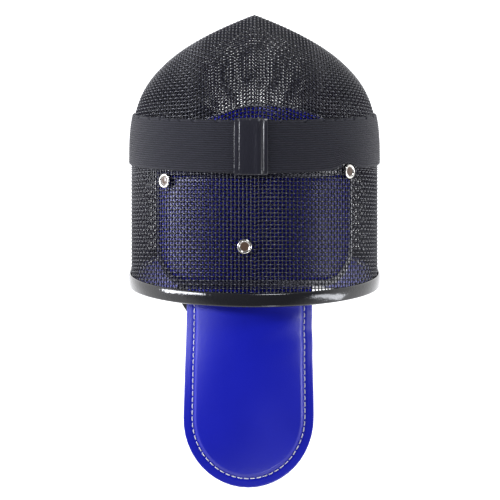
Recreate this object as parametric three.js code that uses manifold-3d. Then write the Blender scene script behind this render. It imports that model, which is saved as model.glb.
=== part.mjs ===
// A fencing mask: a bowl of woven wire with a sharp ridge down the face, a glossy
// trim round its rim, padding inside the crown, a padded tongue behind the head,
// an elastic strap laid over the crown and a soft bib under the chin.
//
// Millimetres, +Z up. The wearer looks along -Y, and +X is the wearer's left.
// The origin is the underside of the crown padding, where the head carries it.
//
// The bowl is worked out in a frame of its own, laid along the top of the crown:
// u runs forward from the rim, q runs down from the top of the crown, x is across.
// That frame is pitched about X to stand the mask as it is worn.
import * as THREE from 'three';
import { mergeVertices } from 'three/addons/utils/BufferGeometryUtils.js';
import Module from 'manifold-3d';

const wasm = await Module();
wasm.setup();

// The bowl, measured at the middle of the wire mesh
const halfWidth = 101;
const bowlHeight = 300;
const crownLength = 130;
const ridgeDepth = 238;
const ridgeSharpness = 3.2;
const sideLength = 121;
const crownPitch = 20;
const rimTilt = 9;
const browBlend = 40;
const jawStart = 150;
const jawFullness = 2.2;
const chinRadius = 70;
const chinDrop = 63;
const meshWall = 2;

// Gaps between neighbours: parts that touch, and soft parts laid on a curve
const gap = 0.3;
const softGap = 0.8;
const browGap = 1.7;

// The folded trim on the rim
const trimWidth = 11;
const trimInnerWidth = 8;
const trimWall = 1.6;

// The padding under the crown, with its white binding
const crownPadHalfWidth = 95;
const crownPadRear = 14;
const crownPadLength = 92;
const crownPadCorner = 36;
const crownPadFrontCorner = 9;
const crownPadHornRise = 6;
const crownPadThickness = 8;
const bindingWidth = 6;
const bindingThickness = 5;

// The padding behind the brow, with a thin white piping
const browPadHalfWidth = 60;
const browPadTurn = -6;
const browPadRear = 112;
const browPadLength = 47;
const browPadBow = 15;
const browPadCorner = 14;
const browPadThickness = 8;
const pipingWidth = 2.6;

// The padded tongue that springs back from under the crown
const tongueHalfWidth = 52.2;
const tongueLength = 204;
const tongueRoot = 58;
const tongueTip = 56.6;
const tongueRootCorner = 10;
const tongueShift = 5;
const tongueThickness = 7;
const tongueHemWidth = 8.7;
const tongueHemThickness = 3;
const tongueFlattening = 0.8;
const tongueDroop = 17;

// The webbing tab sewn under the tongue
const webbingWidth = 22;
const webbingThickness = 1.6;
const webbingLength = 62;
const webbingTurn = 45;
const webbingForward = 4.5;

// The snap fasteners and the rivets that hold the strap ends
const snapDiameter = 11.4;
const snapDish = 7.6;
const snapHeight = 2.2;
const snapDishDepth = 1;
const postDiameter = 3;
const washerDiameter = 9;
const washerThickness = 1.2;
const rivetDiameter = 9;

// Places of the fasteners: degrees round the crown, and u
const snapPlaces = [
  { name: 'snap_left', angle: 43.7, forward: 97.9 },
  { name: 'snap_right', angle: -46.8, forward: 105.4 },
  { name: 'snap_centre', angle: 4.4, forward: 45.7 },
];

// The elastic strap over the crown and the sleeve at its middle
const strapWidth = 41;
const strapThickness = 1.5;
const strapForward = 123;
const strapSweep = 12.5;
const strapReach = 118;
const pushSpread = 7;
const rivetInset = 12;
const sleeveWidth = 25;
const sleeveShift = 2.9;
const sleeveWall = 1.1;
const sleeveRamp = 26;

// The bib under the chin
const bibThickness = 4;
const bibStart = 100;
const bibDrop = 135;
const bibEndDrop = 26;
const bibFlare = 22;

// How finely the curved walls are faceted
const roundSteps = 48;
const bowlRows = 16;
const latheSteps = 14;
const cornerSteps = 5;

const radians = THREE.MathUtils.degToRad;
const degrees = THREE.MathUtils.radToDeg;
const clamp = THREE.MathUtils.clamp;
const smooth = THREE.MathUtils.smoothstep;
const toFrame = (x, u, q) => new THREE.Vector3(x, -u, -q);

// The shape of the bowl

// Half the width at a height q: a half circle over the crown, straight to the
// jaw, then narrowing to the chin.
function widthAt(q) {
  if (q < halfWidth) return halfWidth * Math.sqrt(1 - (1 - q / halfWidth) ** 2);
  if (q < jawStart) return halfWidth;
  const share = clamp((q - jawStart) / (bowlHeight - jawStart), 0, 1);
  return halfWidth * Math.sqrt(1 - share ** jawFullness);
}

// How far forward the ridge stands at a height q: an elliptical forehead, a
// straight face that is upright when worn, and a rounded chin.
function ridgeAt(q) {
  const brow = clamp(1 - q / halfWidth, 0, 1);
  const forehead = crownLength + (ridgeDepth - crownLength) * Math.sqrt(1 - brow * brow);
  const below = q - halfWidth;
  let run = Math.max(0, below);
  if (Math.abs(below) < browBlend) run = (below + browBlend) ** 2 / (4 * browBlend);
  const chin = clamp((q - (bowlHeight - chinRadius)) / chinRadius, 0, 1);
  const tuck = chinDrop * (1 - Math.sqrt(1 - chin * chin));
  return forehead - run * Math.tan(radians(crownPitch)) - tuck;
}

function isInside(x, u, q) {
  if (q <= 0 || q >= bowlHeight) return false;
  const back = ridgeAt(q) - u;
  if (back <= 0) return false;
  const width = widthAt(q);
  const share = Math.min(1, (back * halfWidth) / (sideLength * width));
  return Math.abs(x) < width * (1 - (1 - share) ** ridgeSharpness);
}

// Where a line from a point inside the bowl meets its wall
function meetWall(from, along) {
  let near = 0;
  let far = 2 * bowlHeight;
  for (let step = 0; step < 44; step += 1) {
    const middle = (near + far) / 2;
    const [x, u, q] = from.map((value, axis) => value + middle * along[axis]);
    if (isInside(x, u, q)) near = middle;
    else far = middle;
  }
  const [x, u, q] = from.map((value, axis) => value + near * along[axis]);
  return toFrame(x, u, q);
}

// A point of the wall and its outward normal, from a function of two parameters
function wallSpot(place, a, b, stepA, stepB) {
  const acrossA = place(a + stepA, b).sub(place(a - stepA, b));
  const acrossB = place(a, b + stepB).sub(place(a, b - stepB));
  const point = place(a, b);
  const normal = acrossA.cross(acrossB).normalize();
  const middle = toFrame(0, crownLength / 2, bowlHeight / 2);
  if (normal.dot(point.clone().sub(middle)) < 0) normal.negate();
  return { point, normal };
}

// Round the crown: degrees from the top towards the wearer's left, and u
const crownPlace = (angle, u) => meetWall(
  [0, u, halfWidth],
  [Math.sin(radians(angle)), 0, -Math.cos(radians(angle))],
);
const crownSpot = (angle, u) => wallSpot(crownPlace, angle, u, 0.5, 0.8);

function overCrown(angle, u, lift) {
  const { point, normal } = crownSpot(angle, u);
  return point.addScaledVector(normal, lift);
}

// The rim plane: a line through its middle at a turn from the crown, and the
// same line in a parallel plane further forward
const rimMiddle = bowlHeight / 2;
const rimSlope = Math.tan(radians(rimTilt));
const rimLine = (turn) => [
  Math.sin(radians(turn)),
  -Math.cos(radians(turn)) * Math.sin(radians(rimTilt)),
  -Math.cos(radians(turn)) * Math.cos(radians(rimTilt)),
];
const rimPlace = (turn, forward) => meetWall(
  [0, rimMiddle * rimSlope + forward, rimMiddle],
  rimLine(turn),
);
const rimSpot = (turn, forward) => wallSpot(rimPlace, turn, forward, 1.5, 1.5);

// Solids from loops of points

// Joins neighbouring loops. Two tips close the ends with fans; without them the
// last loop joins the first and the solid is a ring.
function loft(loops, tips) {
  const count = loops[0].length;
  const points = loops.flat();
  const faces = [];
  const quads = tips ? loops.length - 1 : loops.length;
  for (let row = 0; row < quads; row += 1) {
    const next = (row + 1) % loops.length;
    for (let step = 0; step < count; step += 1) {
      const after = (step + 1) % count;
      const [a, b] = [row * count + step, row * count + after];
      const [c, d] = [next * count + after, next * count + step];
      faces.push(a, b, c, a, c, d);
    }
  }
  if (tips) {
    const last = (loops.length - 1) * count;
    points.push(...tips);
    for (let step = 0; step < count; step += 1) {
      const after = (step + 1) % count;
      faces.push(after, step, points.length - 2);
      faces.push(last + step, last + after, points.length - 1);
    }
  }
  return outward(points, faces);
}

// A geometry whose faces point out, whichever way its loops ran
function outward(points, faces) {
  let volume = 0;
  for (let face = 0; face < faces.length; face += 3) {
    const [a, b, c] = [0, 1, 2].map((corner) => points[faces[face + corner]]);
    volume += a.dot(b.clone().cross(c));
  }
  const geometry = new THREE.BufferGeometry().setFromPoints(points);
  geometry.setIndex(volume > 0 ? faces : faces.slice().reverse());
  return geometry;
}

const middleOf = (points) => points
  .reduce((sum, point) => sum.add(point), new THREE.Vector3())
  .divideScalar(points.length);

// The outline of a panel with rounded corners, as points across and forward.
// An inset moves every edge inwards by the same amount.
function panelLoop(panel, inset = 0) {
  const half = panel.half - inset;
  const rear = panel.rear + inset;
  const front = panel.front - inset;
  const rearCorner = panel.rearCorner.map((length) => Math.max(0.5, length - inset));
  const frontCorner = panel.frontCorner.map((length) => Math.max(0.5, length - inset));
  const corners = [
    { side: 1, end: rear, inward: 1, size: rearCorner, from: -90 },
    { side: 1, end: front, inward: -1, size: frontCorner, from: 0 },
    { side: -1, end: front, inward: -1, size: frontCorner, from: 90 },
    { side: -1, end: rear, inward: 1, size: rearCorner, from: 180 },
  ];
  const arcs = corners.map(({ side, end, inward, size, from }) => {
    const arc = [];
    for (let step = 0; step <= cornerSteps; step += 1) {
      const turn = radians(from + (90 * step) / cornerSteps);
      const across = side * (half - size[0]) + size[0] * Math.cos(turn);
      arc.push([across, end + inward * size[1] + size[1] * Math.sin(turn)]);
    }
    return arc;
  });
  const loop = [];
  arcs.forEach((arc, index) => {
    loop.push(...arc);
    const start = arc[arc.length - 1];
    const end = arcs[(index + 1) % arcs.length][0];
    for (let step = 1; step < panel.edgeSteps; step += 1) {
      const share = step / panel.edgeSteps;
      loop.push(start.map((value, axis) => value + share * (end[axis] - value)));
    }
  });
  return loop;
}

// A padded panel: rings that shrink to the middle on top, and back out below.
// Each ring has an inset, a share of full size, and a height above and below.
function paddedPanel(panel, rings, place) {
  const centre = [0, (panel.rear + panel.front) / 2];
  const ringAt = (ring, height) => panelLoop(panel, ring.inset).map(([across, forward]) => place(
    centre[0] + ring.share * (across - centre[0]),
    centre[1] + ring.share * (forward - centre[1]),
    height,
  ));
  const top = rings.map((ring) => ringAt(ring, ring.above));
  const under = rings.map((ring) => ringAt(ring, ring.below)).reverse();
  const inner = rings[0];
  const tips = [inner.above, inner.below].map((height) => place(...centre, height));
  return loft([...top, ...under], tips);
}

// A closed band along a panel's edge, from one inset to another
function edgeBand(panel, outerInset, innerInset, above, below, place) {
  const corner = [
    [outerInset, above], [innerInset, above], [innerInset, below], [outerInset, below],
  ];
  return loft(corner.map(([inset, height]) => panelLoop(panel, inset)
    .map(([across, forward]) => place(across, forward, height))));
}

// Cutting holes

function solidOf(geometry) {
  const bare = geometry.clone();
  bare.deleteAttribute('normal');
  bare.deleteAttribute('uv');
  const merged = mergeVertices(bare, 1e-4);
  return new wasm.Manifold(new wasm.Mesh({
    numProp: 3,
    vertProperties: new Float32Array(merged.attributes.position.array),
    triVerts: new Uint32Array(merged.index.array),
  }));
}

function geometryOf(solid) {
  const { vertProperties, triVerts } = solid.getMesh();
  const geometry = new THREE.BufferGeometry();
  geometry.setAttribute('position', new THREE.BufferAttribute(vertProperties, 3));
  geometry.setIndex(new THREE.BufferAttribute(triVerts, 1));
  return geometry;
}

// Holes for posts, square to the wall, at each spot
function drill(geometry, spots, depth) {
  const radius = postDiameter / 2 + gap;
  return geometryOf(spots.reduce((solid, spot) => {
    const pin = new THREE.CylinderGeometry(radius, radius, 2 * depth, latheSteps);
    pin.applyQuaternion(alongNormal(spot.normal));
    pin.translate(...spot.point.toArray());
    return solid.subtract(solidOf(pin));
  }, solidOf(geometry)));
}

const alongNormal = (normal) => new THREE.Quaternion()
  .setFromUnitVectors(new THREE.Vector3(0, 1, 0), normal);

// Heights above and below the middle of the wire, layer by layer
const wireTop = meshWall / 2;
const padTop = -wireTop - softGap;
const browPadTop = -wireTop - browGap;
const crownPadUnder = padTop - crownPadThickness;
const tongueTop = crownPadUnder - softGap;
const tongueMiddle = tongueTop - tongueThickness / 2;
const tongueUnder = tongueTop - tongueThickness;

const snapSpots = Object.fromEntries(
  snapPlaces.map(({ name, angle, forward }) => [name, crownSpot(angle, forward)]),
);

// The strap's middle line runs further forward as it goes down the sides
const strapLine = (angle) => strapForward + strapSweep * (Math.abs(angle) / 90) ** 1.6;
const rivetAngle = strapReach - degrees(rivetInset / halfWidth);
const rivetSpots = {
  strap_rivet_left: crownSpot(rivetAngle, strapLine(rivetAngle)),
  strap_rivet_right: crownSpot(-rivetAngle, strapLine(rivetAngle)),
};

// The wire bowl: rays from the middle of the rim plane, outside then inside
function meshShell() {
  const from = [0, rimMiddle * rimSlope, rimMiddle];
  const forward = [0, Math.cos(radians(rimTilt)), -Math.sin(radians(rimTilt))];
  const place = (turn, rise) => {
    const flat = rimLine(turn);
    const along = flat.map((value, axis) => (
      value * Math.cos(radians(rise)) + forward[axis] * Math.sin(radians(rise))
    ));
    return meetWall(from, along);
  };
  const rows = [];
  for (let row = 0; row < bowlRows; row += 1) {
    const rise = (90 * row) / bowlRows;
    rows.push(Array.from({ length: roundSteps }, (_, step) => (
      wallSpot(place, (360 * step) / roundSteps, rise, 1, row ? 1 : 0.4)
    )));
  }
  const offset = (spots, height) => spots
    .map(({ point, normal }) => point.clone().addScaledVector(normal, height));
  const tip = place(0, 90);
  const face = middleOf(rows[rows.length - 1].map(({ normal }) => normal)).normalize();
  const outside = rows.map((spots) => offset(spots, wireTop)).reverse();
  const inside = rows.map((spots) => offset(spots, -wireTop));
  const tips = [wireTop, -wireTop].map((height) => tip.clone().addScaledVector(face, height));
  const holes = [...Object.values(snapSpots), ...Object.values(rivetSpots)];
  return drill(loft([...outside, ...inside], tips), holes, 2 * meshWall);
}

// The trim: a channel folded over the edge of the wire
function rimTrim() {
  const reach = wireTop + gap;
  const sections = Array.from({ length: roundSteps }, (_, step) => {
    const turn = (360 * step) / roundSteps;
    const edge = rimSpot(turn, 0);
    const outer = rimSpot(turn, trimWidth - trimWall - gap);
    const inner = rimSpot(turn, trimInnerWidth - trimWall - gap);
    const back = edge.point.clone().sub(outer.point).normalize();
    const at = (spot, behind, height) => spot.point.clone()
      .addScaledVector(back, behind).addScaledVector(spot.normal, height);
    return [
      at(outer, 0, reach),
      at(outer, 0, reach + trimWall),
      at(edge, gap, reach + trimWall),
      at(edge, gap + trimWall, reach),
      at(edge, gap + trimWall, -reach),
      at(edge, gap, -reach - trimWall),
      at(inner, 0, -reach - trimWall),
      at(inner, 0, -reach),
      at(edge, gap, -reach),
      at(edge, gap, reach),
    ];
  });
  return loft(sections);
}

// The crown padding and the binding round it
const crownPanel = {
  half: crownPadHalfWidth,
  rear: crownPadRear,
  front: crownPadRear + crownPadLength,
  rearCorner: [crownPadCorner, crownPadCorner],
  frontCorner: [crownPadFrontCorner, crownPadFrontCorner],
  edgeSteps: 10,
};

// Its front corners reach forward to the snaps
function crownPadPlace(across, forward, height) {
  const share = clamp((forward - crownPadRear) / crownPadLength, 0, 1);
  const rise = crownPadHornRise * share ** 2 * (across / crownPadHalfWidth) ** 4;
  return overCrown(degrees(across / halfWidth), forward + rise, height);
}

function crownPad() {
  const inset = bindingWidth + gap;
  const edge = (crownPadThickness - bindingThickness) / 2;
  const rings = [
    { inset, share: 0.3, above: padTop, below: crownPadUnder },
    { inset, share: 0.55, above: padTop, below: crownPadUnder },
    { inset, share: 0.8, above: padTop, below: crownPadUnder },
    { inset, share: 1, above: padTop - edge, below: crownPadUnder + edge },
  ];
  const pad = paddedPanel(crownPanel, rings, crownPadPlace);
  return drill(pad, Object.values(snapSpots), 4 * crownPadThickness);
}

function crownPadBinding() {
  const under = padTop - bindingThickness;
  const band = edgeBand(crownPanel, 0, bindingWidth, padTop, under, crownPadPlace);
  return drill(band, Object.values(snapSpots), 4 * crownPadThickness);
}

// The brow padding: its front edge is bowed, and it sits a little to one side
const browPanel = {
  half: browPadHalfWidth,
  rear: browPadRear,
  front: browPadRear + browPadLength,
  rearCorner: [browPadCorner, browPadCorner],
  frontCorner: [browPadCorner, browPadCorner],
  edgeSteps: 6,
};

function browPadPlace(across, forward, height) {
  const share = clamp((forward - browPadRear) / browPadLength, 0, 1);
  const bow = browPadBow * share * (across / browPadHalfWidth) ** 2;
  return overCrown(browPadTurn + degrees(across / halfWidth), forward - bow, height);
}

function browPad() {
  const inset = pipingWidth + gap;
  const above = browPadTop;
  const below = above - browPadThickness;
  const edge = (browPadThickness - pipingWidth) / 2;
  const rings = [
    { inset, share: 0.33, above, below },
    { inset, share: 0.66, above, below },
    { inset, share: 0.9, above, below },
    { inset, share: 1, above: above - pipingWidth / 2, below: below + edge },
  ];
  return paddedPanel(browPanel, rings, browPadPlace);
}

function browPadPiping() {
  const under = browPadTop - 1.5 * pipingWidth;
  return edgeBand(browPanel, 0, pipingWidth, browPadTop, under, browPadPlace);
}

// The tongue: concentric with the crown where it is held, flatter to its tip
const tonguePanel = {
  half: tongueHalfWidth,
  rear: tongueRoot - tongueLength,
  front: tongueRoot,
  rearCorner: [tongueHalfWidth, tongueTip],
  frontCorner: [tongueRootCorner, tongueRootCorner],
  edgeSteps: 5,
};

function tonguePlace(across, forward, height) {
  const free = clamp(-forward / (tongueLength - tongueRoot), 0, 1);
  const bend = (1 - tongueFlattening * smooth(free, 0, 1)) / (halfWidth + tongueMiddle);
  const turn = (across + tongueShift) * bend;
  const reach = 1 / bend + height;
  const droop = tongueDroop * free * free;
  const q = -tongueMiddle + 1 / bend - reach * Math.cos(turn) + droop;
  return toFrame(reach * Math.sin(turn), forward, q);
}

function tongue() {
  const full = tongueThickness / 2;
  const hem = tongueHemThickness / 2;
  const puff = tongueHemWidth + tongueHemThickness;
  const rings = [
    { inset: puff, share: 0.3, above: full, below: -full },
    { inset: puff, share: 0.6, above: full, below: -full },
    { inset: puff, share: 0.85, above: full, below: -full },
    { inset: puff, share: 1, above: 0.9 * full, below: -0.9 * full },
    { inset: tongueHemWidth, share: 1, above: hem, below: -hem },
    { inset: 0, share: 1, above: hem, below: -hem },
  ];
  const panel = paddedPanel(tonguePanel, rings, tonguePlace);
  return drill(panel, [snapSpots.snap_centre], 4 * crownPadThickness);
}

// The webbing tab: a strip that leaves the tongue's left edge slantwise
function tongueWebbing() {
  const above = -tongueThickness / 2 - gap;
  const turn = radians(webbingTurn);
  const middle = [tongueHalfWidth, webbingForward];
  const corner = (along, aside, height) => tonguePlace(
    middle[0] + along * Math.sin(turn) - aside * Math.cos(turn),
    middle[1] + along * Math.cos(turn) + aside * Math.sin(turn),
    height,
  );
  const steps = 8;
  const loops = Array.from({ length: steps + 1 }, (_, step) => {
    const along = webbingLength * (step / steps - 0.72);
    return [
      corner(along, -webbingWidth / 2, above),
      corner(along, webbingWidth / 2, above),
      corner(along, webbingWidth / 2, above - webbingThickness),
      corner(along, -webbingWidth / 2, above - webbingThickness),
    ];
  });
  return loft(loops, [middleOf(loops[0]), middleOf(loops[steps])]);
}

// A fastener through the wire: head, post and washer turned in one piece
function fastener(headDiameter, dishDiameter, seat, under) {
  const head = headDiameter / 2;
  const dish = dishDiameter / 2;
  const top = seat + snapHeight;
  const bevel = snapHeight / 4;
  const profile = [
    [0, top - snapDishDepth],
    [dish - bevel, top - snapDishDepth],
    [dish, top],
    [head - bevel, top],
    [head, top - bevel],
    [head, seat],
    [postDiameter / 2, seat],
    [postDiameter / 2, under],
    [washerDiameter / 2, under],
    [washerDiameter / 2, under - washerThickness],
    [0, under - washerThickness],
  ].map(([radius, height]) => new THREE.Vector2(radius, height));
  return new THREE.LatheGeometry(profile.reverse(), latheSteps);
}

// The strap: a flat band, lifted off the wire where the sleeve goes under it
const sleeveAngle = degrees(sleeveShift / halfWidth);
const strapLift = (angle) => {
  const away = Math.abs(angle - sleeveAngle) - degrees(sleeveWidth / 2 / halfWidth);
  const raise = 1 - smooth(away, 0, sleeveRamp);
  return wireTop + gap + raise * (sleeveWall + gap);
};

// How far a snap's head pushes the strap's rear edge forward
function snapPush(angle) {
  const rear = strapLine(angle) - strapWidth / 2;
  const pushes = snapPlaces.map((snap) => {
    const overlap = snap.forward + snapDiameter / 2 + softGap - rear;
    return Math.max(0, overlap) * Math.exp(-(((angle - snap.angle) / pushSpread) ** 2));
  });
  return Math.max(...pushes);
}

// A section across the strap, grown on every side
function strapSection(angle, grow) {
  const edge = strapWidth / 2 + grow;
  const low = strapLift(angle) - grow;
  const high = strapLift(angle) + strapThickness + grow;
  const shares = [-1, -0.5, 0, 0.5, 1];
  const at = (share, height) => {
    const push = share < 0 ? -share * snapPush(angle) : 0;
    return overCrown(angle, strapLine(angle) + share * edge + push, height);
  };
  return [
    ...shares.map((share) => at(share, high)),
    ...shares.slice().reverse().map((share) => at(share, low)),
  ];
}

function backStrap() {
  const steps = 50;
  const loops = Array.from({ length: steps + 1 }, (_, step) => (
    strapSection(strapReach * ((2 * step) / steps - 1), 0)
  ));
  const strap = loft(loops, [middleOf(loops[0]), middleOf(loops[steps])]);
  return drill(strap, Object.values(rivetSpots), 3 * snapHeight);
}

function strapSleeve() {
  const half = degrees(sleeveWidth / 2 / halfWidth);
  const steps = 6;
  const angles = Array.from({ length: steps + 1 }, (_, step) => (
    sleeveAngle + half * ((2 * step) / steps - 1)
  ));
  const outside = angles.map((angle) => strapSection(angle, gap + sleeveWall));
  const inside = angles.map((angle) => strapSection(angle, gap)).reverse();
  return loft([...outside, ...inside]);
}

// The bib: a curved wall that hangs from the lower rim
function bib() {
  const span = 360 - 2 * bibStart;
  const steps = 28;
  const rows = 6;
  const down = toFrame(0, -Math.sin(radians(crownPitch)), Math.cos(radians(crownPitch)));
  const loops = Array.from({ length: steps + 1 }, (_, step) => {
    const share = step / steps;
    const turn = bibStart + span * share;
    const edge = rimSpot(turn, 0);
    const ahead = rimSpot(turn, trimWidth);
    const back = edge.point.clone().sub(ahead.point).normalize();
    const top = edge.point.clone().addScaledVector(back, trimWall + 2 * gap);
    const drop = bibEndDrop + (bibDrop - bibEndDrop) * Math.sin(Math.PI * share) ** 1.5;
    const out = edge.normal.clone().addScaledVector(down, -edge.normal.dot(down)).normalize();
    const at = (row, side) => {
      const fall = row / rows;
      const lean = smooth(fall, 0, 0.25);
      const square = edge.normal.clone().lerp(out, lean).normalize();
      const slide = back.clone().lerp(down, lean).normalize();
      return top.clone()
        .addScaledVector(slide, fall * drop)
        .addScaledVector(out, bibFlare * fall * fall * Math.sin(Math.PI * share))
        .addScaledVector(square, (side * bibThickness) / 2);
    };
    const order = Array.from({ length: rows + 1 }, (_, row) => row);
    return [
      ...order.map((row) => at(row, 1)),
      ...order.reverse().map((row) => at(row, -1)),
    ];
  });
  return loft(loops, [middleOf(loops[0]), middleOf(loops[steps])]);
}

// Finishes
const finish = (color, roughness, metalness = 0) => (
  new THREE.MeshStandardMaterial({ color, roughness, metalness })
);
const wirePaint = finish('#15151c', 0.4);
const glossTrim = finish('#26262b', 0.25);
const blueVinyl = finish('#1619b4', 0.35);
const whiteTape = finish('#e4e4ea', 0.6);
const nickel = finish('#d8d4cc', 0.2, 1);
const elastic = finish('#2b2b36', 0.8);
const blackVinyl = finish('#202028', 0.35);
const blueCloth = finish('#1a1f9e', 0.8);

const mask = new THREE.Group();
function add(name, geometry, material, spot) {
  const mesh = new THREE.Mesh(geometry, material);
  mesh.name = name;
  if (spot) {
    mesh.position.copy(spot.point);
    mesh.quaternion.copy(alongNormal(spot.normal));
  }
  mask.add(mesh);
}

add('mesh_shell', meshShell(), wirePaint);
add('rim_trim', rimTrim(), glossTrim);
add('crown_pad', crownPad(), blueVinyl);
add('crown_pad_binding', crownPadBinding(), whiteTape);
add('brow_pad', browPad(), blueVinyl);
add('brow_pad_piping', browPadPiping(), whiteTape);
add('tongue', tongue(), blueVinyl);
add('tongue_webbing', tongueWebbing(), elastic);
for (const [name, spot] of Object.entries(snapSpots)) {
  const under = name === 'snap_centre' ? tongueUnder : crownPadUnder;
  add(name, fastener(snapDiameter, snapDish, wireTop + gap, under - softGap), nickel, spot);
}
const rivetSeat = wireTop + gap + strapThickness + gap;
for (const [name, spot] of Object.entries(rivetSpots)) {
  add(name, fastener(rivetDiameter, snapDish / 2, rivetSeat, padTop), nickel, spot);
}
add('back_strap', backStrap(), elastic);
add('strap_sleeve', strapSleeve(), blackVinyl);
add('bib', bib(), blueCloth);

// The mask as worn: the crown pitched up to the front, and the origin where the
// head meets the crown padding, clear of the tongue's root
const seatForward = (tongueRoot + crownPadRear + crownPadLength) / 2;
const seat = overCrown(0, seatForward, crownPadUnder);
mask.rotation.x = -radians(crownPitch);
mask.position.copy(seat.applyEuler(mask.rotation).negate());

const fencingMask = new THREE.Group();
fencingMask.add(mask);

export default fencingMask;
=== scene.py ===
"""A fencing mask as a Blender scene: woven wire, glossy trim, padding, tongue, strap and bib.

The bowl is worked out in a frame of its own, laid along the top of the crown: x is across,
u runs forward from the rim and q runs down from the top of the crown. Lengths are in metres.
"""

from math import cos, pi, radians, sin, tan

import bpy
import numpy as np
from bpy.props import FloatProperty, FloatVectorProperty, IntProperty, PointerProperty
from bpy.types import Operator, Panel, PropertyGroup
from mathutils import Matrix, Vector


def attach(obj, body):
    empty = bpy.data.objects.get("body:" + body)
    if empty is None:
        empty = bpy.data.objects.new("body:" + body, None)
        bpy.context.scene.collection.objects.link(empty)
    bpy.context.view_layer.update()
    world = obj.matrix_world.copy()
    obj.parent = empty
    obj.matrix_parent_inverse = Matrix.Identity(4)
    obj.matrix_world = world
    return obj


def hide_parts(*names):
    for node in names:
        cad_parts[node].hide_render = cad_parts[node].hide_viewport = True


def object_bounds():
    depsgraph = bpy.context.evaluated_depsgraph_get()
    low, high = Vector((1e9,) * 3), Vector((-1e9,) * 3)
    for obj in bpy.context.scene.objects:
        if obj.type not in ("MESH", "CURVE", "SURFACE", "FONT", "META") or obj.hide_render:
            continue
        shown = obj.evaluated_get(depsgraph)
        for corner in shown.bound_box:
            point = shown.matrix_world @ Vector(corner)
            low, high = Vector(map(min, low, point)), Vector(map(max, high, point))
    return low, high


bl_info = {
    "name": "Fencing mask",
    "version": (1, 0, 0),
    "blender": (4, 5, 0),
    "location": "View3D > Sidebar > Mask",
    "description": "Builds the woven wire, padding, strap and tongue of a fencing mask",
    "category": "Object",
}

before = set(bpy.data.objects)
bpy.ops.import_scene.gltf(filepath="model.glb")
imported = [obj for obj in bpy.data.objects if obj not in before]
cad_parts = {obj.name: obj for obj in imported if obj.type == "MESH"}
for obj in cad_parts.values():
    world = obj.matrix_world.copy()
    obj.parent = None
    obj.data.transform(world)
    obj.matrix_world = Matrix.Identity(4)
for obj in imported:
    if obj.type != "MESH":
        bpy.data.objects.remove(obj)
CAD_BOX = [list(corner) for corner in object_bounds()]

# The bowl, measured at the middle of the wire
HALF_WIDTH = 0.101
BOWL_HEIGHT = 0.300
CROWN_LENGTH = 0.130
RIDGE_DEPTH = 0.238
RIDGE_SHARPNESS = 3.2
SIDE_LENGTH = 0.121
CROWN_PITCH = radians(20)
RIM_TILT = radians(9)
BROW_BLEND = 0.040
JAW_START = 0.150
JAW_FULLNESS = 2.2
CHIN_RADIUS = 0.070
CHIN_DROP = 0.063
MESH_WALL = 0.002
RIM_MIDDLE = BOWL_HEIGHT / 2
GAP = 0.0003
SOFT_GAP = 0.0008
TINY = 1e-12

# Where the head meets the crown padding, which is the row's origin
PAD_TOP = -MESH_WALL / 2 - SOFT_GAP
CROWN_PAD_THICKNESS = 0.008
SEAT = (0.0, 0.082, -(PAD_TOP - CROWN_PAD_THICKNESS))

# The bowl's surface


def width_at(q):
    """Half the width at a height: a half circle, then straight, then narrowing to the chin."""
    dome = HALF_WIDTH * np.sqrt(np.clip(1 - (1 - q / HALF_WIDTH) ** 2, 0, 1))
    share = np.clip((q - JAW_START) / (BOWL_HEIGHT - JAW_START), 0, 1)
    jaw = HALF_WIDTH * np.sqrt(1 - share**JAW_FULLNESS)
    return np.where(q < HALF_WIDTH, dome, jaw)


def ridge_at(q):
    """How far forward the ridge stands: an elliptical forehead, a straight face, a round chin."""
    brow = np.clip(1 - q / HALF_WIDTH, 0, 1)
    forehead = CROWN_LENGTH + (RIDGE_DEPTH - CROWN_LENGTH) * np.sqrt(1 - brow**2)
    below = q - HALF_WIDTH
    blend = (below + BROW_BLEND) ** 2 / (4 * BROW_BLEND)
    run = np.where(np.abs(below) < BROW_BLEND, blend, np.maximum(0, below))
    chin = np.clip((q - (BOWL_HEIGHT - CHIN_RADIUS)) / CHIN_RADIUS, 0, 1)
    return forehead - run * tan(CROWN_PITCH) - CHIN_DROP * (1 - np.sqrt(1 - chin**2))


def is_inside(points):
    """Whether points lie in the bowl: narrower than the side curve at their height and depth."""
    x, u, q = np.moveaxis(points, -1, 0)
    back = ridge_at(q) - u
    width = width_at(q)
    share = np.clip(back * HALF_WIDTH / (SIDE_LENGTH * np.maximum(width, 1e-9)), 0, 1)
    side = width * (1 - (1 - share) ** RIDGE_SHARPNESS)
    return (q > 0) & (q < BOWL_HEIGHT) & (back > 0) & (np.abs(x) < side)


def unit(vectors):
    """The same directions with length 1."""
    return vectors / np.maximum(np.linalg.norm(vectors, axis=-1, keepdims=True), TINY)


def run_lengths(line):
    """How far along a line each of its points lies."""
    return np.concatenate([[0], np.cumsum(np.linalg.norm(np.diff(line, axis=0), axis=1))])


def meet_wall(origin, along):
    """Where lines from inside the bowl meet its wall, by halving the stretch that holds it."""
    near = np.zeros(along.shape[:-1])
    far = near + 2 * BOWL_HEIGHT
    for _ in range(40):
        middle = (near + far) / 2
        inside = is_inside(origin + middle[..., None] * along)
        near = np.where(inside, middle, near)
        far = np.where(inside, far, middle)
    return origin + near[..., None] * along


def wall_normals(place, a, b, step_a, step_b):
    """Outward normals of a surface of two parameters, from its differences."""
    across = place(a + step_a, b) - place(a - step_a, b)
    along = place(a, b + step_b) - place(a, b - step_b)
    normals = unit(np.cross(across, along))
    outward = place(a, b) - np.array([0, CROWN_LENGTH / 2, BOWL_HEIGHT / 2])
    return normals * np.sign(np.sum(normals * outward, axis=-1, keepdims=True))


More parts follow.
